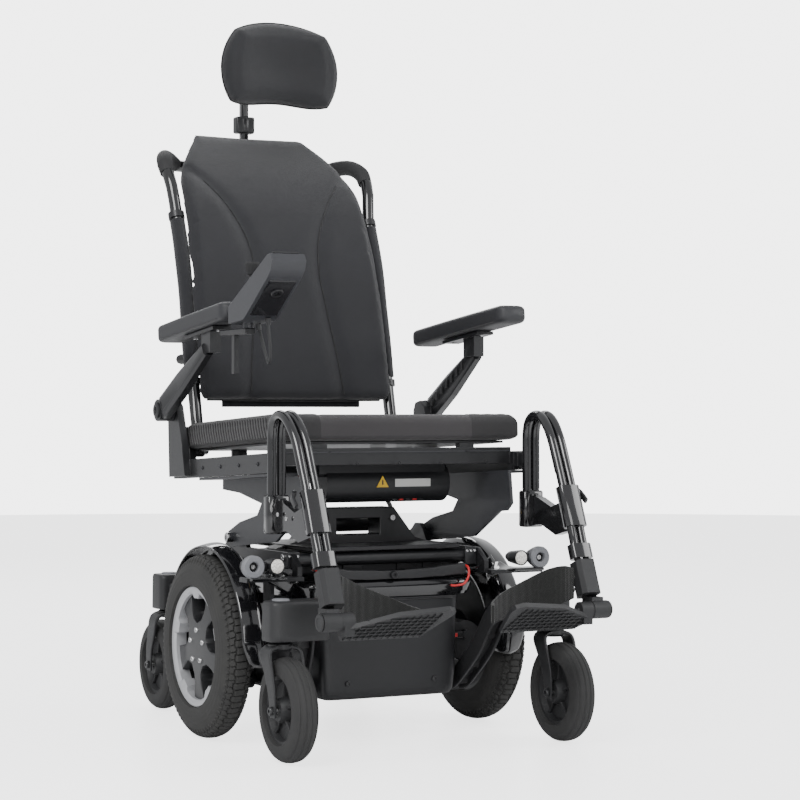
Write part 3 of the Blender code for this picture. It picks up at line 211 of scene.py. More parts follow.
def mesh_piece(name, vertices, faces, smooth_angle=40.0):
    """A mesh object at the origin, faces outwards, soft edges below the given angle."""
    mesh = bpy.data.meshes.new(name)
    mesh.from_pydata(vertices.tolist(), [], faces)
    bm = bmesh.new()
    bm.from_mesh(mesh)
    bmesh.ops.remove_doubles(bm, verts=bm.verts, dist=1e-6)
    bmesh.ops.recalc_face_normals(bm, faces=bm.faces)
    bm.to_mesh(mesh)
    bm.free()
    mesh.shade_smooth()
    mesh.set_sharp_from_angle(angle=math.radians(smooth_angle))
    piece = bpy.data.objects.new(name, mesh)
    bpy.context.scene.collection.objects.link(piece)
    return piece


def skin(name, rings, ends=True, loop=False, smooth_angle=40.0):
    """A surface through rings[i, j]: closed round j, capped at both ends or looped in i."""
    count, around = rings.shape[:2]
    index = np.arange(count * around).reshape(count, around)
    first = index if loop else index[:-1]
    second = np.roll(index, -1, axis=0) if loop else index[1:]
    quads = np.stack([first, np.roll(first, -1, axis=1), np.roll(second, -1, axis=1), second], axis=-1)
    faces = quads.reshape(-1, 4).tolist()
    if ends and not loop:
        faces += [index[0][::-1].tolist(), index[-1].tolist()]
    return mesh_piece(name, rings.reshape(-1, 3), faces, smooth_angle)


def revolve(name, centre, axis, profile, steps=96, smooth_angle=40.0):
    """A profile of (radius, distance along the axis) turned about it; a closed profile is a ring."""
    profile = np.asarray(profile, float)
    axis = np.asarray(axis, float) / np.linalg.norm(axis)
    side = np.cross(axis, (0.0, 0.0, 1.0) if abs(axis[2]) < 0.9 else (1.0, 0.0, 0.0))
    side /= np.linalg.norm(side)
    up = np.cross(axis, side)
    turn = np.linspace(0, 2 * np.pi, steps, endpoint=False)[:, None, None]
    radial = np.cos(turn) * side + np.sin(turn) * up
    rings = np.asarray(centre) + profile[None, :, :1] * radial + profile[None, :, 1:] * axis
    return skin(name, rings, loop=True, smooth_angle=smooth_angle)


def spline(points, steps=8):
    """Points of a Catmull-Rom curve through the given points."""
    points = np.asarray(points, float)
    ends = np.vstack([2 * points[0] - points[1], points, 2 * points[-1] - points[-2]])
    t = np.linspace(0, 1, steps, endpoint=False)[:, None]
    spans = [0.5 * (2 * b + (c - a) * t + (2 * a - 5 * b + 4 * c - d) * t ** 2
                    + (3 * b - a - 3 * c + d) * t ** 3)
             for a, b, c, d in zip(ends, ends[1:], ends[2:], ends[3:])]
    return np.vstack(spans + [points[-1:]])


def sweep_rings(path, section, scale=None, up=(1.0, 0.0, 0.0)):
    """Rings of a section (side, up) carried along a path that keeps its side vector near `up`."""
    path = np.asarray(path, float)
    slope = np.gradient(path, axis=0)
    slope /= np.linalg.norm(slope, axis=1)[:, None]
    side = np.asarray(up, float) - slope * (slope @ np.asarray(up, float))[:, None]
    side /= np.linalg.norm(side, axis=1)[:, None]
    other = np.cross(slope, side)
    scale = np.ones((len(path), 1)) if scale is None else np.asarray(scale, float).reshape(-1, 1)
    section = np.asarray(section, float)
    return (path[:, None] + scale[:, :, None] * (section[None, :, :1] * side[:, None]
                                                  + section[None, :, 1:] * other[:, None]))


def round_section(radius, sides=24):
    """A circle as (side, up) points."""
    turn = np.linspace(0, 2 * np.pi, sides, endpoint=False)
    return np.stack([radius * np.cos(turn), radius * np.sin(turn)], axis=1)


def soft_section(half_w, half_h, power=0.35, sides=40):
    """A rounded rectangle: a superellipse whose corners tighten as the power falls."""
    turn = np.linspace(0, 2 * np.pi, sides, endpoint=False)
    c, s = np.cos(turn), np.sin(turn)
    return np.stack([half_w * np.sign(c) * np.abs(c) ** power, half_h * np.sign(s) * np.abs(s) ** power],
                    axis=1)


def pipe(name, points, radius, sides=24, steps=8, up=(1.0, 0.0, 0.0), scale=None):
    """A bent round tube through design points."""
    path = spline(at(points), steps)
    if scale is not None:
        scale = np.interp(np.linspace(0, 1, len(path)), np.linspace(0, 1, len(scale)), scale)
    return skin(name, sweep_rings(path, round_section(radius, sides), scale, up))


def block(name, low, high, radius=0.003, turn=0.0, about=(0.0, 0.0, 0.0)):
    """A box between design corners with edges rounded by a bevel, turned about X at a point."""
    low, high = np.minimum(low, high), np.maximum(low, high)
    corners = np.array([[(low, high)[i][0], (low, high)[j][1], (low, high)[k][2]]
                        for k in (0, 1) for i, j in ((0, 0), (1, 0), (1, 1), (0, 1))])
    corners = turned_x(corners, turn, about)
    faces = [[3, 2, 1, 0], [4, 5, 6, 7], [0, 1, 5, 4], [1, 2, 6, 5], [2, 3, 7, 6], [3, 0, 4, 7]]
    piece = mesh_piece(name, at(corners), faces)
    return rounded(piece, radius)


def turned_x(points, angle, about=(0.0, 0.0, 0.0)):
    """Points turned about an X axis through a point."""
    points, about = np.asarray(points, float), np.asarray(about, float)
    c, s = math.cos(angle), math.sin(angle)
    return (points - about) @ np.array([[1, 0, 0], [0, c, s], [0, -s, c]]) + about


def rounded(piece, radius, segments=3, angle=30.0):
    """Round the sharp edges of a piece with a bevel."""
    edge = piece.modifiers.new("edges", "BEVEL")
    edge.width, edge.segments, edge.limit_method = radius, segments, "ANGLE"
    edge.angle_limit, edge.use_clamp_overlap = math.radians(angle), True
    return piece


def bars(name, paths, section, up=(1.0, 0.0, 0.0)):
    """Several straight or bent bars of one section, as one piece."""
    vertices, faces, start = [], [], 0
    for path in paths:
        rings = sweep_rings(at(path), section, up=up)
        count, around = rings.shape[:2]
        index = start + np.arange(count * around).reshape(count, around)
        quads = np.stack([index[:-1], np.roll(index[:-1], -1, axis=1), np.roll(index[1:], -1, axis=1),
                          index[1:]], axis=-1)
        faces += quads.reshape(-1, 4).tolist() + [index[0][::-1].tolist(), index[-1].tolist()]
        vertices.append(rings.reshape(-1, 3))
        start += count * around
    return mesh_piece(name, np.vstack(vertices), faces)


def carry(piece, body, look, *nodes, slot=None):
    """Give a piece its material, its body and the nodes that it stands for."""
    piece.data.materials.clear()
    piece.data.materials.append(LOOKS[look])
    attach(piece, body)
    if nodes:
        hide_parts(*nodes)
    return piece


def refined(node, body, look, radius=0.0015, angle=32.0, segments=2):
    """A copy of a frame part, merged, with softened edges, that stands for it."""
    mesh = frame["nodes"][node].data.copy()
    bm = bmesh.new()
    bm.from_mesh(mesh)
    bmesh.ops.remove_doubles(bm, verts=bm.verts, dist=1e-6)
    bmesh.ops.dissolve_limit(bm, angle_limit=math.radians(1.0), verts=bm.verts, edges=bm.edges)
    bm.to_mesh(mesh)
    bm.free()
    mesh.shade_smooth()
    mesh.set_sharp_from_angle(angle=math.radians(angle))
    piece = bpy.data.objects.new(node + "_shape", mesh)
    bpy.context.scene.collection.objects.link(piece)
    rounded(piece, radius, segments, angle)
    return carry(piece, body, look, node)


def bolt(name, place, axis, radius, body, look="bright_steel", high=0.004):
    """A round cap screw with a dimple for its key."""
    profile = [(0.0, 0.0), (radius, 0.0), (radius, high * 0.7), (radius * 0.85, high),
               (radius * 0.45, high),
               (radius * 0.40, high * 0.45), (0.0, high * 0.40)]
    return carry(revolve(name, at(place), axis, profile, 24), body, look)


# ---------------------------------------------------------------- wheels
TYRE_R, TYRE_W, BEAD_R, WHEEL_X = 0.1668, 0.0615, 0.112, AXLE_X


def tread_wave(turn, across):
    """Depth of the block tread, 0 in a groove and 1 on a block.

    Three rows of blocks: zigzag grooves between the rows, and cross grooves that shift
    by half a pitch from row to row, all as smooth steps of sines.
    """
    pitches = 40
    zigzag = 0.09 * np.sign(np.sin(turn * pitches)) * np.minimum(np.abs(np.sin(turn * pitches)) * 3, 1)
    row_edge = np.minimum(np.abs(np.abs(across + zigzag * 0.6) - 0.30), np.abs(np.abs(across) - 0.80))
    long_groove = np.clip((row_edge - 0.035) / 0.03, 0, 1)
    row = (np.abs(across + zigzag * 0.6) > 0.30).astype(float)
    cross = np.abs(np.sin(turn * pitches + row * np.pi / 2 + across * 1.2))
    cross_groove = np.clip((cross - 0.16) / 0.12, 0, 1)
    shoulder = np.clip((1.28 - np.abs(across)) / 0.04, 0, 1)
    side_lugs = np.where(np.abs(across) > 0.80, np.clip((np.sin(turn * pitches * 2) + 0.3) * 4, 0, 1), 1.0)
    return np.minimum(np.minimum(long_groove, cross_groove), side_lugs) * shoulder


def drive_tyre(side, sign):
    """Tyre: a soft section from bead to bead with block tread on the crown."""
    steps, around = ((960, 72))
    turn = np.linspace(0, 2 * np.pi, steps, endpoint=False)[:, None]
    span = np.linspace(-math.pi / 2, math.pi / 2, around)[None, :]
    across = np.sign(np.sin(span)) * np.abs(np.sin(span)) ** 0.78
    rise = np.maximum(np.cos(span), 0.0) ** 0.62
    depth = TYRE_R - 0.0028 - BEAD_R
    tread = tread_wave(turn, np.tan(np.clip(span, -1.1, 1.1))) * 0.0034 * np.clip(rise * 3 - 1.2, 0, 1)
    sidewall = 0.0008 * np.sin(np.clip((rise - 0.12) / 0.5, 0, 1) * 3 * np.pi) ** 2
    radius = BEAD_R + depth * rise + tread
    x = across * (TYRE_W / 2 - 0.0012 + sidewall * 0.7)
    x = np.broadcast_to(x, radius.shape)
    inner = np.full((steps, 1), BEAD_R - 0.002)
    radius = np.hstack([inner, radius, inner])
    x = np.hstack([np.full((steps, 1), -0.020), x, np.full((steps, 1), 0.020)])
    rings = np.stack([sign * (WHEEL_X + x), radius * np.sin(turn), AXLE_Z + radius * np.cos(turn)], axis=-1)
    piece = skin(f"drive_tyre_{side}_tread", at(rings), loop=True, smooth_angle=50)
    carry(piece, f"drive_wheel_{side}", "tyre_rubber", f"drive_tyre_{side}", slot="tyre_rubber")


def star_height(radius, turn):
    """Height of the five-arm hub face over its floor: 1 on the arms and the boss, 0 in the windows."""
    phase = (turn / (2 * np.pi) * 5) % 1 - 0.5
    arc = np.abs(phase) * 2 * np.pi / 5 * radius
    half_arm = 0.0135 + 0.25 * np.clip(radius - 0.052, 0,
                                       1) + 0.020 * np.exp(-((radius - 0.035) / 0.014) ** 2)
    arm = np.clip((half_arm - arc) / 0.0035 + 0.5, 0, 1)
    boss = np.clip((0.046 - radius) / 0.004 + 0.5, 0, 1)
    return np.maximum(arm, boss)


def drive_rim(side, sign):
    """Silver ring with notches, black five-arm hub, dark barrel and the bolts of a drive wheel."""
    body = f"drive_wheel_{side}"
    steps, out = 240, 52
    turn = np.linspace(0, 2 * np.pi, steps, endpoint=False)[:, None]
    # hub face: a polar sheet whose windows drop inwards, closed by a back face
    r = np.concatenate([np.linspace(0.0005, 0.0985, out), np.linspace(0.0985, 0.0005, 8)])[None, :]
    front = np.arange(r.shape[1])[None, :] < out
    height = star_height(r, turn)
    dish = 0.006 * (1 - (r / 0.0985) ** 2)
    face = 0.0135 + dish - (1 - height) * 0.024
    face = np.where(front, face, -0.018)
    rings = np.stack([sign * (WHEEL_X + face), r * np.sin(turn) + 0 * face,
                      AXLE_Z + r * np.cos(turn) + 0 * face], axis=-1)
    hub = skin(f"hub_star_{side}", at(rings), loop=True, smooth_angle=38)
    carry(hub, body, "satin_black")
    # silver ring: its inner edge steps in at five places
    teeth = np.clip((np.cos(turn * 5) - 0.80) / 0.06 + 0.5, 0, 1)
    ring_profile = np.array([[0.1118, 0.0], [0.1118, 0.0215], [0.1085, 0.0245], [0.101, 0.0235],
                             [0.097, 0.020], [0.097, 0.0]])
    radius = ring_profile[None, :, 0] - np.array([0, 0, 0, 0.5, 1, 1])[None, :] * 0.009 * teeth
    x = np.broadcast_to(ring_profile[None, :, 1], radius.shape)
    rings = np.stack([sign * (WHEEL_X + x), radius * np.sin(turn), AXLE_Z + radius * np.cos(turn)], axis=-1)
    ring = skin(f"rim_ring_{side}", at(rings), loop=True, smooth_angle=30)
    carry(ring, body, "silver", f"drive_hub_{side}", slot="wheel_rim")
    barrel = [(0.1115, -0.0235), (0.1115, 0.0005), (0.104, 0.0005), (0.102, -0.010), (0.104, -0.0235)]
    carry(revolve(f"rim_barrel_{side}", at((sign * WHEEL_X, 0, AXLE_Z)), (sign, 0, 0), barrel), body,
          "satin_black")
    back = [(0.012, -0.021), (0.1035, -0.021), (0.1035, -0.017), (0.012, -0.017)]
    carry(revolve(f"rim_back_{side}", at((sign * WHEEL_X, 0, AXLE_Z)), (sign, 0, 0), back), body,
          "cast_black")
    for i in range(5):
        angle = 2 * math.pi * (i + 0.5) / 5 + math.pi
        y, z = 0.030 * math.sin(angle), 0.030 * math.cos(angle)
        bolt(f"wheel_bolt_{side}_{i + 1}", (sign * (WHEEL_X + 0.0180), y, AXLE_Z + z), (sign, 0, 0),
             0.0052, body)


def caster_wheel(end, side, sign):
    """Ribbed caster tyre and dished hub with five webs."""
    joint = joints[f"{end}_caster_wheel_{side}"]
    centre = np.array(joint["pos_m"]) - ORIGIN
    body = f"{end}_caster_wheel_{side}"
    half, outer, inner = 0.0220, 0.0895, 0.060
    t = np.linspace(-math.pi / 2, math.pi / 2, 64)
    across = np.sign(np.sin(t)) * np.abs(np.sin(t)) ** 0.85 * half
    rise = np.maximum(np.cos(t), 0) ** 0.55
    grooves = 0.0016 * np.clip(np.cos(across / half * 4.5 * np.pi) * -3 - 1.4, 0,
                               1) * (np.abs(across) < half * 0.85)
    radius = inner + (outer - inner) * rise - grooves
    profile = np.vstack([[(inner - 0.002, -half * 0.7)], np.stack([radius, across], axis=1),
                         [(inner - 0.002, half * 0.7)]])
    tyre = revolve(f"{end}_caster_tyre_{side}", at(centre), (1, 0, 0), profile, 120, 45)
    carry(tyre, body, "caster_rubber", f"{end}_caster_wheel_{side}", slot="caster_rubber")
    rim = [(0.0595, -0.0155), (0.0595, 0.0155), (0.053, 0.0145), (0.049, 0.0045), (0.024, 0.0040),
           (0.021, 0.0150), (0.0185, 0.0205),
           (0.0068, 0.0205), (0.0068, -0.0205), (0.0185, -0.0205), (0.021, -0.0150), (0.024, -0.0040),
           (0.049, -0.0045), (0.053, -0.0145)]
    carry(revolve(f"{end}_caster_hub_{side}", at(centre), (1, 0, 0), rim, 72), body, "matte_plastic")
    for i in range(5):
        angle = 2 * math.pi * i / 5
        radial = np.array([0, math.sin(angle), math.cos(angle)])
        path = at([centre + radial * r for r in (0.0195, 0.030, 0.042, 0.0545)])
        web = sweep_rings(path, soft_section(0.0125, 0.0028, 0.4, 16), [1, 0.8, 0.72, 0.95])
        carry(skin(f"{end}_caster_web_{side}_{i + 1}", web), body, "matte_plastic")
    for out in (-1, 1):
        bolt(f"{end}_axle_bolt_{side}_{'in' if out < 0 else 'out'}",
             centre + np.array([out * sign * 0.0312, 0, 0]),
             (out * sign, 0, 0), 0.0075, f"{end}_caster_{side}", "satin_black", 0.005)


# ---------------------------------------------------------------- base
def fork(end, side):
    """Cast fork: crown bridge and two legs that sweep down to the axle."""
    fork_body = f"{end}_caster_{side}"
    swivel = np.array(joints[f"{end}_caster_swivel_{side}"]["pos_m"]) - ORIGIN
    wheel = np.array(joints[f"{end}_caster_wheel_{side}"]["pos_m"]) - ORIGIN
    back = np.sign(wheel[1] - swivel[1])
    top = 0.1945
    for out in (-1, 1):
        x = swivel[0] + out * 0.0290
        inward = -out * 0.001
        path = [(swivel[0], swivel[1], top), (x - out * 0.012, swivel[1] + back * 0.001, top),
                (x, swivel[1] + back * 0.006, top - 0.012),
                (x, swivel[1] + back * 0.020, top - 0.045), (x, wheel[1] - back * 0.002, wheel[2] + 0.028),
                (x + inward, wheel[1], wheel[2] - 0.012)]
        rings = sweep_rings(spline(at(path), 7), soft_section(0.020, 0.0035, 0.30, 32),
                            np.interp(np.linspace(0, 1, 36), [0, .3, .6, .9, 1],
                            [1.05, 1.0, 0.80, 0.62, 0.50]), up=(0, 1, 0))
        piece = skin(f"{end}_fork_leg_{side}_{'in' if out < 0 else 'out'}", rings)
        carry(piece, fork_body, "cast_black", *([f"{end}_caster_fork_{side}"] if out < 0 else []))
    pin = [(0.0, -0.033), (0.0058, -0.033), (0.0058, 0.033), (0.0, 0.033)]
    carry(revolve(f"{end}_axle_{side}", at(wheel), (1, 0, 0), pin, 24), fork_body, "bright_steel")
    crown = [(0.0, top - 0.007), (0.018, top - 0.007), (0.0215, top - 0.003), (0.0215, top + 0.005),
             (0.016, top + 0.0085), (0.0, top + 0.0085)]
    carry(revolve(f"{end}_crown_{side}", at((swivel[0], swivel[1], 0)), (0, 0, 1), crown, 48), fork_body,
          "cast_black")


def suspension_arm(end, side, sign):
    """Stem housing with its cap, and the ribbed casting that leads to the arm pivot."""
    body = f"{end}_arm_{side}"
    swivel = np.array(joints[f"{end}_caster_swivel_{side}"]["pos_m"]) - ORIGIN
    hinge = np.array(joints[f"{end}_arm_{side}"]["pos_m"]) - ORIGIN
    low, high = 0.2046, 0.2735
    inner, outer = sign * 0.187, swivel[0] + sign * 0.028
    z = np.concatenate([[low], np.linspace(low + 0.002, high - 0.008, 8),
                        high - 0.008 + 0.008 * np.sin(np.linspace(0.3, 1, 5) * math.pi / 2), [high]])
    shrink = np.concatenate([[0.94], np.linspace(0.985, 0.95, 8),
                             0.95 - 0.22 * (1 - np.cos(np.linspace(0.3, 1, 5) * math.pi / 2)), [0.70]])
    centre = np.array([(inner + outer) / 2, swivel[1]])
    section = soft_section(abs(outer - inner) / 2, 0.0305, 0.42, 56)
    rings = np.stack([np.stack([centre[0] + section[:, 0] * (1 - (1 - s) * 0.5),
                                centre[1] + section[:, 1] * (1 - (1 - s) * 0.9),
                                np.full(56, h)], axis=1) for s, h in zip(shrink, z)])
    carry(skin(f"{end}_stem_housing_{side}", at(rings), smooth_angle=45), body, "cast_black",
          f"{end}_arm_{side}", slot="cast_black")
    cap = [(0.0, high - 0.004), (0.0155, high - 0.004), (0.0155, high + 0.001), (0.014, high + 0.003),
           (0.0, high + 0.0032)]
    carry(revolve(f"{end}_stem_cap_{side}", at((swivel[0] - sign * 0.001, swivel[1], 0)), (0, 0, 1), cap,
                  48), body, "roller_grey")
    root, reach = sign * 0.175, swivel[1] - hinge[1]
    path = [(root, hinge[1], hinge[2]), (root, hinge[1] + reach * 0.15, hinge[2] + 0.005),
            (root, hinge[1] + reach * 0.30, hinge[2] + 0.026),
            (root + sign * 0.010, hinge[1] + reach * 0.50, hinge[2] + 0.072),
            (root + sign * 0.020, hinge[1] + reach * 0.68, 0.222),
            (root + sign * 0.030, hinge[1] + reach * 0.88, 0.238)]
    width = np.interp(np.linspace(0, 1, 41), [0, .35, .7, 1], [0.90, 1.0, 1.05, 1.15])
    for name, offset, half_w, half_h in (("web", 0.0, 0.013, 0.004),
                                         ("rib_out", sign * 0.0135, 0.0028, 0.0165),
                                         ("rib_in", -sign * 0.0135, 0.0028, 0.0165)):
        rings = sweep_rings(spline(at(np.array(path) + (offset, 0, 0)), 8),
                            soft_section(half_w, half_h, 0.3, 28), width)
        carry(skin(f"{end}_arm_{name}_{side}", rings), body, "cast_black")
    for i, share in enumerate((0.30, 0.52, 0.72)):
        point = spline(np.array(path), 8)[int(share * 40)]
        carry(block(f"{end}_arm_gusset_{side}_{i + 1}", point - (0.013, 0.002, 0.014),
                    point + (0.013, 0.002, 0.014), 0.0008), body, "cast_black")
    barrel = [(0.0086, -0.030), (0.0086, 0.026), (0.0165, 0.026), (0.0180, 0.024), (0.0180, -0.028),
              (0.0165, -0.030)]
    carry(revolve(f"{end}_pivot_barrel_{side}", at(hinge), (sign, 0, 0), barrel, 48), body, "cast_black")
    bolt(f"{end}_pivot_nut_{side}", hinge + np.array([sign * 0.0275, 0, 0]), (sign, 0, 0), 0.0095, "base",
         "bright_steel", 0.006)


def mudguard(side, sign):
    """Glossy dome over the wheel's inner half: an arc section from wall to brow carried round the wheel."""
    turn = np.radians(np.linspace(-62, 97, 72))[:, None]
    s = np.linspace(0, 1, 24)[None, :]
    bend = np.clip(s * 1.35 - 0.10, 0, 1)
    radius = 0.130 + (0.1835 - 0.130) * np.sin(np.minimum(bend / 0.62, 1) * math.pi / 2) ** 0.8 + 0 * turn
    x = 0.2385 + (0.2885 - 0.2385) * np.clip((bend - 0.30) / 0.70, 0, 1) ** 1.25 + 0 * turn
    radius = radius + 0.006 * np.sin(np.clip((bend - 0.25) / 0.75, 0, 1) * math.pi)
    ends = np.clip((1 - np.abs((turn - np.radians(17)) / np.radians(80))) * 6, 0, 1) ** 0.5
    x = 0.2385 + (x - 0.2385) * (0.55 + 0.45 * ends)
    points = np.stack([sign * x, -radius * np.sin(turn), AXLE_Z + radius * np.cos(turn)], axis=-1)
    index = np.arange(points.shape[0] * points.shape[1]).reshape(points.shape[:2])
    faces = np.stack([index[:-1, :-1], index[:-1, 1:], index[1:, 1:], index[1:, :-1]],
                     axis=-1).reshape(-1, 4)
    if sign > 0:
        faces = faces[:, ::-1]
    piece = mesh_piece(f"mudguard_{side}_shell", at(points).reshape(-1, 3), faces.tolist(), 60)
    wall = piece.modifiers.new("wall", "SOLIDIFY")
    wall.thickness, wall.offset = 0.0026, -1.0
    carry(piece, "base", "gloss_black", f"mudguard_{side}", slot="gloss_shell")


def shroud():
    """Glossy top shell: a superellipse in plan whose brow bulges forward and rolls over the top."""
    low, high, steps = 0.262, 0.299, 26
    t = np.linspace(0, 1, steps)
    z = low + (high - low) * np.sin(t * math.pi / 2)
    swell = 0.965 + 0.035 * np.sin(np.clip(t[1:] * 1.8, 0, 1) * math.pi / 2)
    bulge = np.concatenate([[0.965], swell]) - 0.30 * np.clip(t - 0.45, 0, 1) ** 2
    section = soft_section(0.1800, 0.1800, 0.22, 120)
    centre = np.array([0.0, -0.0205])
    rings = np.stack([np.stack([centre[0] + section[:, 0] * b, centre[1] + section[:, 1] * 1.02 * b,
                                np.full(120, h) - 0.006 * np.clip(section[:, 1] * b / -0.18, 0, 1)
                                * (h > low + 0.01)], axis=1)
                      for b, h in zip(bulge, z)])
    carry(skin("shroud_shell", at(rings), smooth_angle=60), "base", "gloss_black", "top_shroud",
          slot="gloss_shell")


def front_cover():
    """Matte battery cover: a rounded box in plan, drawn in a little at its foot, with two screws."""
    t = np.linspace(0, 1, 20)
    z = 0.0785 + (0.2610 - 0.0785) * t
    half = np.interp(t, [0, 0.06, 0.25, 1.0], [0.128, 0.1345, 0.138, 0.1415])
    ahead = np.interp(t, [0, 0.05, 0.2, 1.0], [0.032, 0.0365, 0.038, 0.0385])
    rings = np.stack([np.stack([s[:, 0], s[:, 1] - 0.1575, np.full(len(s), h)], axis=1)
                      for s, h in ((soft_section(w, a, 0.28, 96), h) for w, a, h in zip(half, ahead, z))])
    piece = skin("front_cover_shell", at(rings), smooth_angle=50)
    carry(rounded(piece, 0.003, 3, 40), "base", "shell_plastic", "front_cover", slot="matte_plastic")
    for side, sign in SIDES:
        bolt(f"cover_screw_{side}", (sign * 0.088, -0.1962, 0.108), (0, -1, 0), 0.0050, "base",
             "satin_black", 0.002)
    line = [(-0.1405, -0.150, 0.2555), (-0.134, -0.1905, 0.2555), (-0.09, -0.1965, 0.2555),
            (0.09, -0.1965, 0.2555),
            (0.134, -0.1905, 0.2555), (0.1405, -0.150, 0.2555)]
    carry(pipe("cover_seam", line, 0.0012, 8, 6, up=(0, 0, 1)), "base", "satin_black")


def lamps(side, sign):
    """Headlamp with its faceted lens, and the roller bumper beside it."""
    place = np.array([sign * 0.247, -0.240, 0.327])
    shell = [(0.0, 0.050), (0.006, 0.049), (0.0105, 0.038), (0.0132, 0.014), (0.0143, 0.001),
             (0.0143, -0.001), (0.0128, -0.001), (0.0128, 0.002), (0.0, 0.002)]
    carry(revolve(f"headlamp_shell_{side}", at(place), (0, 1, 0), shell, 64), "base", "shell_plastic",
          f"headlamp_{side}")
    glass = [(0.0, -0.0032), (0.006, -0.0028), (0.0105, -0.0016), (0.0127, 0.0005), (0.0127, 0.0035),
             (0.0, 0.0035)]
    carry(revolve(f"headlamp_lens_{side}", at(place), (0, 1, 0), glass, 64), "base", "lamp_lens",
          slot="lamp_lens")
    place = np.array([sign * 0.290, -0.238, 0.3265])
    roller = [(0.0085, 0.010), (0.0085, 0.0015), (0.0105, -0.0005), (0.0180, -0.0005), (0.0203, 0.002),
              (0.0203, 0.011), (0.019, 0.0135), (0.010, 0.0140)]
    carry(revolve(f"bumper_roller_{side}", at(place), (0, 1, 0), roller, 72), "base", "roller_grey",
          f"bumper_{side}", slot="grey_plastic")
    cone = [(0.0, 0.0095), (0.0082, 0.0095), (0.0100, 0.0140), (0.0190, 0.0142), (0.0185, 0.018),
            (0.0125, 0.036), (0.0060, 0.047), (0.0, 0.048)]
    carry(revolve(f"bumper_cone_{side}", at(place), (0, 1, 0), cone, 64), "base", "shell_plastic")
    bolt(f"bumper_bolt_{side}", place + (0, 0.0095, 0), (0, -1, 0), 0.0048, "base")
    carry(block(f"lamp_bridge_{side}", place + (-sign * 0.030, 0.010, -0.008),
                place + (-sign * 0.006, 0.030, 0.008), 0.003), "base", "shell_plastic")
    sill = [(sign * 0.192, -0.150, 0.3035), (sign * 0.215, -0.185, 0.304), (sign * 0.245, -0.212, 0.305),
            (sign * 0.298, -0.220, 0.305)]
    rings = sweep_rings(spline(at(sill), 8), soft_section(0.022, 0.0028, 0.3, 24),
                        [1.3] * 8 + [1.15] * 9 + [1.0] * 8, up=(-sign * 0.6, 0.8, 0))
    carry(skin(f"lamp_sill_{side}", rings), "base", "gloss_black")


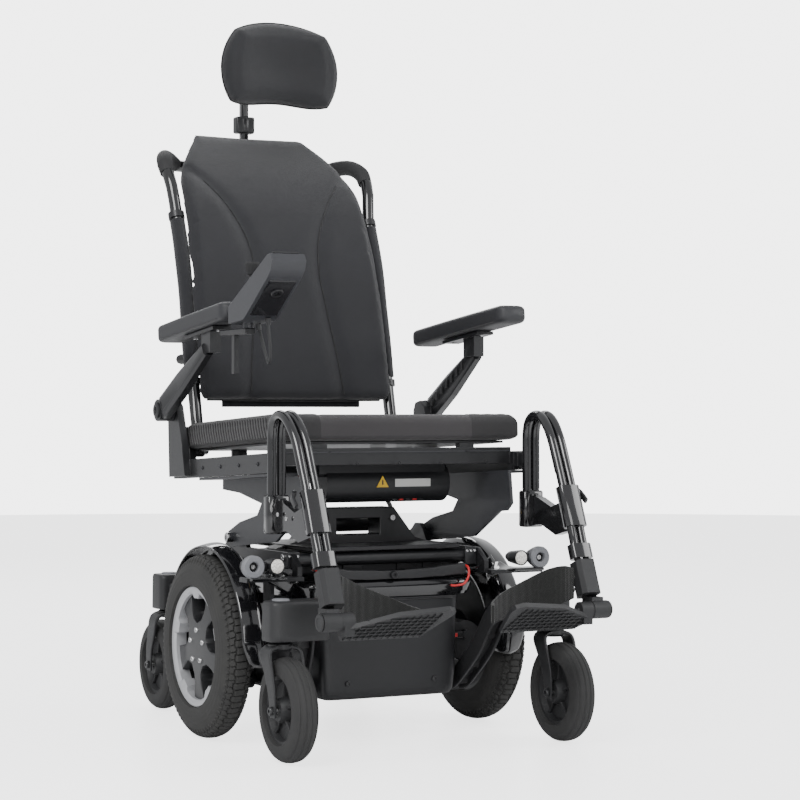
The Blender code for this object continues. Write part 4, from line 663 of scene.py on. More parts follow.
def base_details():
    """Tubes, brackets, bolts and the red release cords on the base."""
    for side, sign in SIDES:
        end = sign * 0.181
        carry(block(f"cross_bracket_{side}", (end - 0.020, -0.182, 0.314), (end + 0.004, -0.176, 0.347),
                    0.0015), "base", "satin_black")
        for i in range(3):
            bolt(f"bracket_bolt_{side}_{i + 1}", (end - 0.016 + 0.008 * i, -0.182, 0.339), (0, -1, 0),
                 0.0022, "base", "bright_steel", 0.0012)
        bolt(f"plate_bolt_{side}", (sign * 0.1945, -0.150, 0.335), (sign, 0, 0), 0.007, "base",
             "bright_steel", 0.004)
        bolt(f"pivot_nut_{side}", (sign * 0.2145, 0.055, 0.362), (sign, 0, 0), 0.0095, "seat",
             "bright_steel", 0.005)
        bolt(f"tower_nut_{side}", (sign * 0.070, -0.0615, 0.398), (0, -1, 0), 0.006, "base",
             "bright_steel", 0.004)
        cord = [(sign * 0.150, -0.186, 0.315), (sign * 0.153, -0.206, 0.311),
                (sign * 0.150, -0.214, 0.296), (sign * 0.140, -0.2155, 0.282),
                (sign * 0.126, -0.208, 0.278), (sign * 0.118, -0.204, 0.2785)]
        carry(pipe(f"release_cord_{side}", cord, 0.0022, 12, 8, up=(0, 0.3, 1)), "base", "red_plastic")
        bolt(f"cord_eye_{side}", (sign * 0.150, -0.182, 0.315), (0, -1, 0), 0.0055, "base")
        for i, y in enumerate((-0.02, 0.03, 0.08)):
            carry(block(f"plate_slot_{side}_{i + 1}", (sign * 0.1946, y, 0.315),
                        (sign * 0.1956, y + 0.022, 0.325), 0.0004), "base", "matte_plastic")
        carry(pipe(f"harness_{side}", [(sign * 0.10, 0.02, 0.43), (sign * 0.13, 0.06, 0.41),
                                       (sign * 0.155, 0.10, 0.37), (sign * 0.160, 0.13, 0.33),
                                       (sign * 0.150, 0.15, 0.305)],
                   0.0045, 12, 8), "base", "matte_plastic")
    bar = [(-0.150, -0.196, 0.3085), (-0.07, -0.197, 0.303), (0.0, -0.1975, 0.3015), (0.07, -0.197, 0.303),
           (0.150, -0.196, 0.3085)]
    rings = sweep_rings(spline(at(bar), 8), soft_section(0.0055, 0.0085, 0.3, 24),
                        [1.15] * 6 + [1.0] * 7 + [0.9] * 7 + [1.0] * 7 + [1.15] * 6, up=(0, 1, 0))
    carry(skin("front_bar", rings), "base", "cast_black")
    bolt("front_bar_bolt", (0.0, -0.203, 0.3015), (0, -1, 0), 0.0075, "base", "satin_black", 0.006)
    for node, look in (("chassis_frame", "satin_black"), ("tilt_tower", "satin_black"),
                       ("battery_front", "matte_plastic"),
                       ("battery_rear", "matte_plastic")):
        refined(node, "base", look, 0.0012)
    for side, _ in SIDES:
        refined(f"gear_motor_{side}", "base", "satin_black", 0.002)
        refined(f"freewheel_lever_{side}", f"freewheel_lever_{side}", "satin_black", 0.001)
        tab = block(f"lever_tab_{side}", (dict(SIDES)[side] * 0.1575, -0.1440, 0.1752),
                    (dict(SIDES)[side] * 0.1665, -0.1372, 0.1838), 0.002)
        carry(tab, f"freewheel_lever_{side}", "red_plastic")
    for i in range(5):
        y = 0.010 + i * 0.044
        for side, sign in SIDES:
            carry(block(f"tray_rib_{side}_{i + 1}", (sign * 0.1412, y, 0.10),
                        (sign * 0.1432, y + 0.006, 0.24), 0.0006), "base", "satin_black")
    carry(block("power_module", (-0.165, -0.145, 0.3005), (0.165, 0.076, 0.3390), 0.006), "base",
          "shell_plastic")
    for i, x in enumerate((-0.11, -0.055, 0.055, 0.11)):
        carry(block(f"module_fin_{i + 1}", (x - 0.020, -0.1485, 0.306), (x + 0.020, -0.1445, 0.333),
                    0.002), "base", "satin_black")
    drum = [(0.0, -0.072), (0.0165, -0.072), (0.018, -0.069), (0.018, 0.069), (0.0165, 0.072), (0.0, 0.072)]
    carry(revolve("tower_damper", at((0.0, 0.040, 0.386)), (1, 0, 0), drum, 48), "base", "satin_black")
    lid = block("rear_lid", (-0.128, 0.225, 0.255), (0.128, 0.235, 0.2615), 0.002)
    carry(lid, "base", "shell_plastic")


# ---------------------------------------------------------------- seat and back
SEAT_TILT = math.radians(2.8)
SEAT_PLANE = 0.5135        # height at which the level seat is tipped


def settle(piece, pressure=4.0, cap=0.004, cell=0.005):
    """Let a cushion's cover settle over its filling with a short cloth run, and keep the result."""
    view = bpy.context.view_layer
    bpy.ops.object.select_all(action="DESELECT")
    piece.select_set(True)
    view.objects.active = piece
    remesh = piece.modifiers.new("cover", "REMESH")
    remesh.mode, remesh.voxel_size = "VOXEL", cell
    bpy.ops.object.modifier_apply(modifier=remesh.name)
    start = np.empty(len(piece.data.vertices) * 3)
    piece.data.vertices.foreach_get("co", start)
    start = start.reshape(-1, 3)
    cloth = piece.modifiers.new("cloth", "CLOTH")
    cloth.settings.quality = 4
    cloth.settings.mass = 0.4
    cloth.settings.tension_stiffness = cloth.settings.compression_stiffness = 22.0
    cloth.settings.shear_stiffness = 6.0
    cloth.settings.bending_stiffness = 1.2
    cloth.settings.use_pressure = True
    cloth.settings.uniform_pressure_force = pressure
    cloth.settings.effector_weights.gravity = 0.0
    cloth.point_cache.frame_start, cloth.point_cache.frame_end = 1, 20
    for step in range(1, 21):
        bpy.context.scene.frame_set(step)
    settled = piece.evaluated_get(bpy.context.evaluated_depsgraph_get()).to_mesh()
    end = np.empty(len(settled.vertices) * 3)
    settled.vertices.foreach_get("co", end)
    piece.evaluated_get(bpy.context.evaluated_depsgraph_get()).to_mesh_clear()
    travel = end.reshape(-1, 3) - start
    length = np.linalg.norm(travel, axis=1)[:, None]
    travel *= np.minimum(1.0, cap / np.maximum(length, 1e-9))
    piece.modifiers.remove(cloth)
    piece.data.vertices.foreach_set("co", (start + travel).ravel())
    piece.data.update()
    bpy.context.scene.frame_set(1)
    finer = piece.modifiers.new("finer", "SUBSURF")
    finer.levels = finer.render_levels = 1
    piece.data.shade_smooth()
    return piece


def sheet(name, front, back, smooth_angle=60.0):
    """A closed pad between a front and a back grid of points that share their outer edge."""
    rows, cols = front.shape[:2]
    one = np.arange(rows * cols).reshape(rows, cols)
    two = one + rows * cols

    def quads(grid):
        return np.stack([grid[:-1, :-1], grid[:-1, 1:], grid[1:, 1:], grid[1:, :-1]],
                        axis=-1).reshape(-1, 4)

    rim = np.concatenate([one[0, :-1], one[:-1, -1], one[-1, :0:-1], one[:0:-1, 0]])
    rim_two = rim + rows * cols
    sides = np.stack([rim, np.roll(rim, -1), np.roll(rim_two, -1), rim_two], axis=-1)
    faces = np.vstack([quads(one), quads(two)[:, ::-1], sides]).tolist()
    return mesh_piece(name, np.vstack([front.reshape(-1, 3), back.reshape(-1, 3)]), faces, smooth_angle)


def back_line(z):
    """Front of the back cushion: leans, then curves back towards the shoulders."""
    z = np.asarray(z, float)
    low = 0.198 + (z - 0.617) * 0.205 + np.maximum(z - 0.828, 0) ** 2 * 0.75
    top = 0.198 + 0.3829 * 0.205 + 0.1719 ** 2 * 0.75 + (z - 1) * 0.5 + (z - 1) ** 2 * 2.2
    return np.where(z < 1, low, top)


SEAM_Z = (0.619, 0.70, 0.80, 0.87, 0.92, 0.97, 1.02, 1.065, 1.10, 1.1665)
SEAM_X = (0.102, 0.094, 0.079, 0.070, 0.073, 0.088, 0.114, 0.150, 0.190, 0.240)


def back_cushion():
    """The curved back cushion with its two long seams, softened by a cloth run."""
    rows, cols = 150, 120
    z = np.linspace(0.6190, 1.1665, rows)[:, None]
    half = np.interp(z, [0.619, 0.64, 0.76, 0.88, 0.98, 1.047, 1.09, 1.13, 1.1665],
                     [0.198, 0.2125, 0.2115, 0.207, 0.201, 0.195, 0.179, 0.149, 0.118])
    smooth = np.ones(5) / 5
    half = np.convolve(np.pad(half[:, 0], 2, mode="edge"), smooth, mode="valid")[:, None]
    u = np.sin(np.linspace(-1, 1, cols) * math.pi / 2)[None, :]
    x = half * u
    edge = np.minimum(1 - np.abs(u), 1) * half
    end = np.minimum(z - 0.6190, 1.1665 - z)
    margin = np.minimum(edge, end)
    roll = 1 - np.sqrt(1 - (1 - np.clip(margin / 0.020, 0, 1)) ** 2)
    seam_x = np.interp(z, SEAM_Z, SEAM_X)
    gap = np.abs(np.abs(x) - seam_x)
    puff = 0.0072 * (1 - np.exp(-(gap / 0.018) ** 2)) - 0.0068
    dish = 0.0045 * (1 - np.clip(np.abs(x) / 0.20, 0, 1) ** 2)
    front_y = back_line(z) + roll * 0.018 + dish - puff * 0.75 + 0.0002
    blend_x = np.clip((np.abs(x) - 0.186) / 0.012, 0, 1)
    depth = 0.0440 * (1 - blend_x) + 0.0140 * blend_x
    depth = np.where(z > 1.0, np.minimum(depth, 0.0440 - (z - 1.0) * 0.10), depth)
    back_y = back_line(z) + depth - roll * 0.012
    back_y = np.maximum(back_y, front_y + 0.0015)
    front = np.stack([x, front_y, z + 0 * x], axis=-1)
    back = np.stack([x, back_y, z + 0 * x], axis=-1)
    piece = sheet("back_pad", at(front), at(back))
    settle(piece, 3.0, 0.002, 0.0045)
    carry(piece, "back", "back_fabric", "back_cushion", slot="back_fabric")
    heights = np.linspace(0.632, 1.062, 14)
    for side, sign in SIDES:
        line = [(sign * s, float(back_line(h)) + 0.0072 - 0.0045 * (s / 0.2) ** 2, h)
                for h, s in zip(heights, np.interp(heights, SEAM_Z, SEAM_X))]
        carry(pipe(f"back_seam_{side}", line, 0.0014, 8, 6), "back", "seam_thread")
    zip_line = [(-0.188, float(back_line(0.640)) + 0.020, 0.6205),
                (0.0, float(back_line(0.640)) + 0.020, 0.6192),
                (0.188, float(back_line(0.640)) + 0.020, 0.6205)]
    carry(pipe("back_zip", zip_line, 0.0020, 10, 12, up=(0, 1, 0)), "back", "seam_thread")


def back_frame():
    """Tubes, sleeves, grips and the receiver of the back."""
    refined("back_frame", "back", "gloss_tube", 0.0012, 52)
    for side, sign in SIDES:
        sleeve = [(sign * 0.2125, float(back_line(z)) + 0.0305, z) for z in np.linspace(0.668, 0.975, 8)]
        flutter = 1 + 0.05 * np.sin(np.linspace(0, 9, 22)) * np.sin(np.linspace(0, 4, 22))
        carry(pipe(f"tube_sleeve_{side}", sleeve, 0.0152, 24, 8, scale=flutter), "back", "back_fabric")
        grip = [(sign * 0.2202, 0.352, 1.073), (sign * 0.2195, 0.366, 1.0915),
                (sign * 0.213, 0.387, 1.1045), (sign * 0.203, 0.4065, 1.1098),
                (sign * 0.186, 0.428, 1.108), (sign * 0.168, 0.4425, 1.1012)]
        carry(pipe(f"push_grip_{side}", grip, 0.0158, 28, 8, scale=[0.90, 1.0, 1.0, 1.0, 1.0, 0.90]),
              "back", "grip_foam")
        carry(block(f"hinge_cover_{side}", (sign * 0.206, 0.184, 0.510), (sign * 0.236, 0.226, 0.552),
                    0.006), "back", "satin_black")
        bolt(f"back_hinge_bolt_{side}", (sign * 0.2435, 0.205, 0.530), (sign, 0, 0), 0.0085, "seat",
             "bright_steel", 0.004)
        for i, z in enumerate((0.655, 0.985)):
            ends = [(sign * 0.2125, float(back_line(h)) + 0.0305, h) for h in (z - 0.006, z + 0.006)]
            clamp = pipe(f"sleeve_band_{side}_{i + 1}", ends, 0.0160, 28, 4)
            carry(clamp, "back", "satin_black")
    flap = []
    for x in np.linspace(-0.150, 0.150, 31):
        flap.append((x, 0.2385 + 0.0012 * math.sin(x * 60), 0.6175))
    rings = sweep_rings(at(flap), soft_section(0.0020, 0.0110, 0.5, 16), up=(0, 1, 0))
    carry(skin("back_flap", rings), "back", "back_fabric")
    for i, z in enumerate((1.074, 1.120)):
        bolt(f"receiver_screw_{i + 1}", (0.0165, 0.471, z), (1, 0, 0), 0.0042, "back", "bright_steel",
             0.003)
    knob = [(0.0, 0.0), (0.006, 0.0), (0.006, 0.006), (0.0125, 0.008), (0.0135, 0.012), (0.0135, 0.017),
            (0.011, 0.020), (0.0, 0.0205)]
    carry(revolve("receiver_knob", at((0.0, 0.4905, 1.098)), (0, 1, 0), knob, 40), "back", "satin_black")


def headrest():
    """Bean-shaped pad on a round stem with its collar."""
    rows, cols = 72, 96
    u = np.sin(np.linspace(-1, 1, cols) * math.pi / 2)[None, :]
    v = np.sin(np.linspace(-1, 1, rows) * math.pi / 2)[:, None]
    half_w, half_h = 0.1270, 0.0850
    x = half_w * u * np.sqrt(1 - 0.36 * v ** 2) * (1 - 0.035 * v) + 0 * v
    z = half_h * v * np.sqrt(1 - 0.36
                             * u ** 2) - 0.006 * u ** 2 + 0.007 * np.cos(u * math.pi) * (v < 0) * np.abs(v)
    rim = np.maximum(np.abs(u), np.abs(v)) ** 7
    lift = (1 - rim) ** 0.55
    centre = np.array([0.0, 0.311, 1.298])
    cup = -0.0195 * u ** 2
    dimple = 0.007 * np.exp(-((v + 0.05) / 0.5) ** 2) * np.exp(-(u / 0.55) ** 2)
    front_y = 0.004 + cup - 0.0300 * lift + dimple
    back_y = 0.004 + cup + 0.0290 * lift
    front = np.stack([x, front_y, z], axis=-1) + centre
    back = np.stack([x, back_y, z], axis=-1) + centre
    piece = sheet("headrest_cushion", at(front), at(back))
    settle(piece, 3.0, 0.0015, 0.0045)
    carry(piece, "headrest", "headrest_fabric", "headrest_pad", slot="headrest_fabric")
    rim_line = np.concatenate([np.stack([x[0], back_y[0] + 0 * u[0], z[0]], -1),
                               np.stack([x[1:, -1], back_y[1:, -1], z[1:, -1]], -1),
                               np.stack([x[-1, ::-1][1:], back_y[-1, ::-1][1:], z[-1, ::-1][1:]], -1),
                               np.stack([x[::-1, 0][1:-1], back_y[::-1, 0][1:-1], z[::-1, 0][1:-1]],
                                        -1)]) + centre
    slope = np.roll(rim_line, -1, axis=0) - np.roll(rim_line, 1, axis=0)
    slope /= np.linalg.norm(slope, axis=1)[:, None]
    side = np.cross(slope, (0.0, 1.0, 0.0))
    section = round_section(0.0016, 8)
    across, along = section[None, :, :1], section[None, :, 1:]
    rings = at(rim_line)[:, None] + across * side[:, None] + along * np.array([0.0, 1.0, 0.0])
    carry(skin("headrest_piping", rings, loop=True), "headrest", "seam_thread")
    refined("headrest_post", "headrest_post", "gloss_tube", 0.0015, 52)
    carry(block("post_block", (-0.0205, 0.4665, 1.178), (0.0205, 0.4895, 1.213), 0.004), "headrest_post",
          "satin_black")
    post = [(0.0, -0.015), (0.0118, -0.015), (0.0135, -0.012), (0.0135, 0.012), (0.0118, 0.015),
            (0.0, 0.015)]
    carry(revolve("post_collar", at((0.0, 0.478, 1.195)), (0, 0, 1), post, 40), "headrest_post",
          "satin_black")
    bolt("collar_screw", (0.0, 0.4915, 1.195), (0, 1, 0), 0.0035, "headrest_post", "bright_steel", 0.003)
    ring = [(0.0, -0.010), (0.0150, -0.009), (0.0180, 0.0), (0.0180, 0.006), (0.0, 0.006)]
    carry(revolve("ball_cup", at((0.0, 0.352, 1.290)), (0, 1, 0), ring, 40), "headrest", "satin_black")


def seat_cushion():
    """A level cushion: smooth middle, side borders with slanted ribs, soft edges."""
    rows, cols = 150, 190
    low_y, high_y, half = -0.2225, 0.1795, 0.2515
    v = np.sin(np.linspace(-1, 1, rows) * math.pi / 2)[:, None]
    u = np.sin(np.linspace(-1, 1, cols) * math.pi / 2)[None, :]
    y = (low_y + high_y) / 2 + (high_y - low_y) / 2 * v + 0 * u
    x = half * u + 0 * v
    margin = np.minimum(half - np.abs(x), np.minimum(y - low_y, high_y - y))
    roll = 1 - np.sqrt(1 - (1 - np.clip(margin / 0.018, 0, 1)) ** 2)
    border = np.clip((np.abs(x) - 0.150) / 0.008, 0, 1)
    ribs = 0.0012 * np.abs(np.sin((y + np.sign(x) * -0.55 * x) * math.pi
                                  / 0.016)) * border * np.clip(margin / 0.02, 0, 1)
    seam = -0.0026 * np.exp(-((np.abs(x) - 0.150) / 0.0035) ** 2) * np.clip(margin / 0.02, 0, 1)
    bucket = -0.0030 * np.exp(-((y - 0.02) / 0.13) ** 2) * np.clip(1 - np.abs(x) / 0.15, 0, 1)
    top = 0.0690 + ribs + seam + bucket - roll * 0.0200
    base = 0.0212 + roll * 0.010
    upper = turned_seat(np.stack([x, y, top], axis=-1))
    lower = turned_seat(np.stack([x, y, base + 0 * x], axis=-1))
    piece = sheet("seat_pad", at(upper), at(lower))
    carry(piece, "seat", "seat_fabric", "seat_cushion", slot="seat_fabric")
    piece.data.materials.append(LOOKS["rib_fabric"])
    centres = np.array([polygon.center[:] for polygon in piece.data.polygons]) - ORIGIN
    piece.data.polygons.foreach_set("material_index", (np.abs(centres[:, 0]) > 0.152).astype(int))


def cushion_ribs():
    """Slanted ribs on the side borders of the seat cushion."""
    for side, sign in SIDES:
        paths = []
        for y in np.arange(-0.212, 0.160, 0.0115):
            lean = 0.014
            paths.append(turned_seat([(sign * 0.2512, y, 0.0275), (sign * 0.2518, y + lean * 0.5, 0.046),
                                      (sign * 0.2505, y + lean, 0.0625)]))
        section = soft_section(0.0012, 0.0030, 0.5, 10)
        carry(bars(f"cushion_ribs_{side}", paths, section), "seat", "rib_fabric")


def turned_seat(points):
    """Level points (x, y, lift) tipped to the seat's slope."""
    points = np.asarray(points, float) + (0, 0, SEAT_PLANE)
    return turned_x(points.reshape(-1, 3), -SEAT_TILT, (0, 0, SEAT_PLANE)).reshape(points.shape)


def warning_triangle(name, centre, across, up, size, out):
    """A thin plain yellow triangle on a face; out is the way it faces along the third axis."""
    across, up = np.array(across, float), np.array(up, float)
    away = np.cross(across, up)
    away *= out / (away @ np.ones(3))
    corners = at([np.array(centre) + across * a * size + up * b * size
                  for a, b in ((-1, -0.6), (1, -0.6), (0, 1.1))])
    both = np.vstack([corners, corners + away * 0.0007])
    carry(mesh_piece(name, both, [[0, 1, 2], [5, 4, 3], [0, 3, 4, 1], [1, 4, 5, 2], [2, 5, 3, 0]]), "seat",
          "yellow_label")
    inner = at([np.array(centre) + across * a * size + up * b * size
                for a, b in ((-0.12, -0.25), (0.12, -0.25), (0.10, 0.45), (-0.10, 0.45))])
    both = np.vstack([inner + away * 0.0006, inner + away * 0.0010])
    carry(mesh_piece(name + "_mark", both, [[0, 1, 2, 3], [7, 6, 5, 4], [0, 4, 5, 1], [1, 5, 6, 2],
                                            [2, 6, 7, 3], [3, 7, 4, 0]]), "seat", "satin_black")


def seat_frame():
    """Rails, tilt parts and their labels."""
    refined("seat_frame", "seat", "satin_black", 0.0015)
    refined("tilt_motor", "seat", "shell_plastic", 0.002)
    for side, sign in SIDES:
        refined(f"tilt_bracket_{side}", "seat", "grey_steel", 0.0012)
        for i, y in enumerate((-0.185, -0.10, -0.015, 0.07, 0.155)):
            place = turned_seat(np.array([[sign * 0.2612, y, -0.018]]))[0]
            bolt(f"rail_screw_{side}_{i + 1}", place, (sign, 0, 0), 0.0036, "seat", "grey_steel", 0.002)
        warning_triangle(f"bracket_label_{side}", (sign * 0.2072, -0.176, 0.4035), (0, 1, 0), (0, 0, 1),
                         0.0125, sign)
    warning_triangle("motor_label", (0.012, -0.1362, 0.4655), (1, 0, 0), (0, 0, 1), 0.0125, -1)
    carry(block("blank_label", (0.038, -0.1369, 0.4585), (0.112, -0.1357, 0.4730), 0.0003), "seat",
          "white_label")
    for i, x in enumerate((0.046, 0.060, 0.074, 0.088, 0.102)):
        carry(block(f"motor_tie_{i + 1}", (x - 0.0045, -0.1195, 0.4325), (x + 0.0045, -0.1135, 0.4360),
                    0.001), "seat", "red_plastic" if i % 2 else "satin_black")
    for i, x in enumerate((-0.180, -0.085, 0.0, 0.085, 0.180)):
        place = turned_seat(np.array([[x, -0.2262, -0.020]]))[0]
        bolt(f"front_rail_screw_{i + 1}", place, (0, -1, 0), 0.0034, "seat", "satin_black", 0.0022)
    for i, (low, high) in enumerate(((-0.232, -0.142), (-0.136, 0.136), (0.142, 0.232))):
        strip = [turned_seat(np.array([[x, -0.2245, 0.0005]]))[0] for x in np.linspace(low, high, 6)]
        rings = sweep_rings(at(strip), soft_section(0.0016, 0.0010, 0.4, 12), up=(0, 1, 0))
        carry(skin(f"front_rail_edge_{i + 1}", rings), "seat", "grey_steel")


# ---------------------------------------------------------------- arms and controls
def armrest(side, sign):
    """Foam pad on its head plate, and the strut with its hinge cap and ribbed inner face."""
    body = f"armrest_{side}"
    length = 0.370 if side == "left" else 0.328
    tilt, rear, x, z = -math.radians(6.0), 0.200, sign * 0.275, 0.765
    t = np.linspace(0, 1, 60)
    shrink = np.minimum(1.0, np.sqrt(np.maximum(1 - np.clip(1 - np.minimum(t, 1 - t) / 0.055, 0, 1) ** 2,
                                                0.10)))
    section = soft_section(0.0295, 0.0175, 0.42, 56)
    wave = 1 + 0.015 * np.sin(t * math.pi)
    rings = np.stack([np.stack([x + section[:, 0] * (0.55 + 0.45 * s) * w, np.full(56, rear - length * a),
                                z + section[:, 1] * (0.35 + 0.65 * s)
                                + 0.0008 * np.sin(a * 3)], axis=1) for a, s, w in zip(t, shrink, wave)])
    rings = turned_x(rings.reshape(-1, 3), tilt, (0, 0, z)).reshape(rings.shape)
    pad = skin(f"arm_pad_{side}", at(rings), smooth_angle=60)
    carry(pad, body, "armpad_foam", f"armpad_{side}", slot="armpad_foam")
    line = [(x + dx, y, z - 0.0125) for dx, y in ((-0.0292, rear - length + 0.03),
                                                  (-0.0295, rear - length / 2), (-0.0292, rear - 0.03))]
    for k, flip in enumerate((-1, 1)):
        seam = turned_x(np.array([(x - flip * (px - x), py, pz) for px, py, pz in line]), tilt, (0, 0, z))
        carry(pipe(f"arm_pad_seam_{side}_{k + 1}", seam, 0.0009, 8, 6), body, "seam_thread")
    refined(f"arm_strut_{side}", body, "satin_black", 0.0022)
    bolt(f"arm_hinge_cap_{side}", (sign * 0.3042, 0.190, 0.600), (sign, 0, 0), 0.0150, body,
         "shell_plastic", 0.004)
    if side == "left":
        for i in range(7):
            share = 0.16 + 0.105 * i
            place = np.array([sign * 0.2725, 0.190 - 0.198 * share, 0.600 + 0.111 * share])
            carry(block(f"strut_rib_{i + 1}", place - (0.0015, 0.0035, 0.0085),
                        place + (0.0015, 0.0035, 0.0085), 0.0008), body, "matte_plastic")
    for i, y in enumerate((-0.040, 0.070)):
        place = turned_x(np.array([[sign * 0.275, y, z - 0.0245]]), tilt, (0, 0, z))[0]
        bolt(f"pad_screw_{side}_{i + 1}", place, (0, 0, -1), 0.0045, body, "bright_steel", 0.002)


def control_top(y):
    """Height of the controller's top face at y."""
    return 0.776 + (-0.140 - y) * 0.485


def controller():
    """Joystick box: rounded shell, glossy nose, socket, knob, button, mount and lead."""
    x = -0.272
    refined("controller_body", "controller", "control_shell", 0.0055, 32, 4)
    y = np.linspace(-0.276, -0.330, 14)
    top = control_top(y) + 0.0006
    nose = []
    for k, (a, b) in enumerate(zip(y, top)):
        fade = min(1.0, 0.55 + 0.12 * k) * (1.0 if k < 11 else 1 - (k - 10) * 0.05)
        section = soft_section(0.0275 * fade, 0.0016, 0.35, 32)
        nose.append(np.stack([x + section[:, 0], np.full(32, a), b + section[:, 1]], axis=1))
    carry(skin("controller_nose", at(np.array(nose))), "controller", "control_gloss")
    under = []
    for a, b in zip(np.linspace(-0.236, -0.318, 12), np.linspace(0.7665, 0.8205, 12)):
        section = soft_section(0.0255, 0.0016, 0.3, 28)
        under.append(np.stack([x + section[:, 0], a + 0 * section[:, 0], b - 0.0004 + section[:, 1]],
                              axis=1))
    carry(skin("controller_panel", at(np.array(under))), "controller", "control_gloss")
    panel_way = (0.0, -0.549, -0.836)
    socket = [(0.0060, 0.0), (0.0105, 0.0), (0.0110, 0.0035), (0.0100, 0.0050), (0.0065, 0.0050),
              (0.0060, 0.0035)]
    spot = np.array([x, -0.292, 0.8030])
    carry(revolve("charger_socket", at(spot), panel_way, socket, 40), "controller", "satin_black")
    for i, dx in enumerate((-0.018, 0.018)):
        bolt(f"panel_dot_{i + 1}", (x + dx, -0.262, 0.7835), panel_way, 0.0026, "controller",
             "red_plastic", 0.0012)
    lean = math.atan2(0.485, 1.0)
    up = np.array([0, math.sin(lean), math.cos(lean)])
    ring_at = np.array([x, -0.190, control_top(-0.190)])
    bezel = [(0.0235, -0.001), (0.0275, -0.001), (0.0275, 0.0008), (0.0255, 0.0020), (0.0240, 0.0014)]
    carry(revolve("joystick_bezel", at(ring_at), up, bezel, 56), "controller", "control_gloss")
    boot = [(0.0240, -0.0005), (0.0200, 0.0012), (0.0180, 0.0002), (0.0160, 0.0030), (0.0140, 0.0026),
            (0.0120, 0.0062), (0.0100, 0.0062), (0.0080, 0.0105),
            (0.0058, 0.0130), (0.0050, 0.0130), (0.0050, 0.0100), (0.0200, -0.0020)]
    carry(revolve("joystick_boot", at(ring_at), up, boot, 56), "joystick", "grip_foam")
    refined("joystick_gimbal", "joystick_gimbal", "satin_black", 0.0004)
    tip = ring_at - up * 0.004 + (0, 0.004, 0.050)
    turns = 48
    profile = np.array([(0.0, -0.012), (0.0050, -0.012), (0.0070, -0.0085), (0.0098, -0.0070),
                        (0.0106, -0.004), (0.0112, 0.003), (0.0128, 0.0085),
                        (0.0128, 0.0120), (0.0115, 0.0140), (0.0070, 0.0132), (0.0, 0.0126)])
    turn = np.linspace(0, 2 * np.pi, turns * 4, endpoint=False)[:, None]
    grip_band = (profile[:, 1] > -0.007) & (profile[:, 1] < 0.010)
    knurl = 1 + 0.025 * np.sign(np.sin(turn * 24)) * grip_band[None, :]
    radius = profile[None, :, 0] * knurl
    rings = np.stack([radius * np.cos(turn), radius * np.sin(turn), profile[None, :, 1] + 0 * radius],
                     axis=-1) + tip
    carry(skin("joystick_knob", at(rings), loop=True, smooth_angle=35), "joystick", "grip_foam",
          "joystick_stick", slot="soft_knob")
    stem = [ring_at + up * s for s in (0.002, 0.012, 0.022)] + [tip - (0, 0.0006, 0.008)]
    carry(pipe("joystick_stem", stem, 0.0048, 20, 6), "joystick", "satin_black")
    cap = [(0.0, -0.0030), (0.0052, -0.0030), (0.0052, 0.0008), (0.0044, 0.0015), (0.0, 0.0016)]
    button_at = np.array([x, -0.285, control_top(-0.285)])
    carry(revolve("power_cap", at(button_at), up, cap, 32), "power_button", "roller_grey", "power_button",
          slot="grey_plastic")
    refined("controller_mount", "armrest_right", "satin_black", 0.0006)
    lead = [(x + 0.012, -0.186, 0.7518), (x + 0.014, -0.189, 0.738), (x + 0.018, -0.196, 0.712),
            (x + 0.020, -0.205, 0.691),
            (x + 0.020, -0.213, 0.683), (x + 0.019, -0.222, 0.692), (x + 0.016, -0.228, 0.715),
            (x + 0.013, -0.229, 0.738), (x + 0.012, -0.2285, 0.7595)]
    carry(pipe("control_lead", lead, 0.0028, 16, 10), "controller", "matte_plastic", "controller_lead",
          slot="lead_rubber")
    for i, (point, way) in enumerate(((lead[0], (0.10, -0.2, -1)), (lead[-1], (0.05, 0, -1)))):
        gland = [(0.0029, 0.0), (0.0052, 0.0), (0.0048, 0.006), (0.0040, 0.012), (0.0029, 0.012)]
        carry(revolve(f"lead_gland_{i + 1}", at(np.array(point) + (0, 0, 0.001)), way, gland, 24),
              "controller", "satin_black")
    for i in range(3):
        carry(block(f"mount_slot_{i + 1}", (x - 0.0012, -0.1188, 0.676 + 0.020 * i),
                    (x + 0.0012, -0.1178, 0.688 + 0.020 * i), 0.0003), "armrest_right", "matte_plastic")


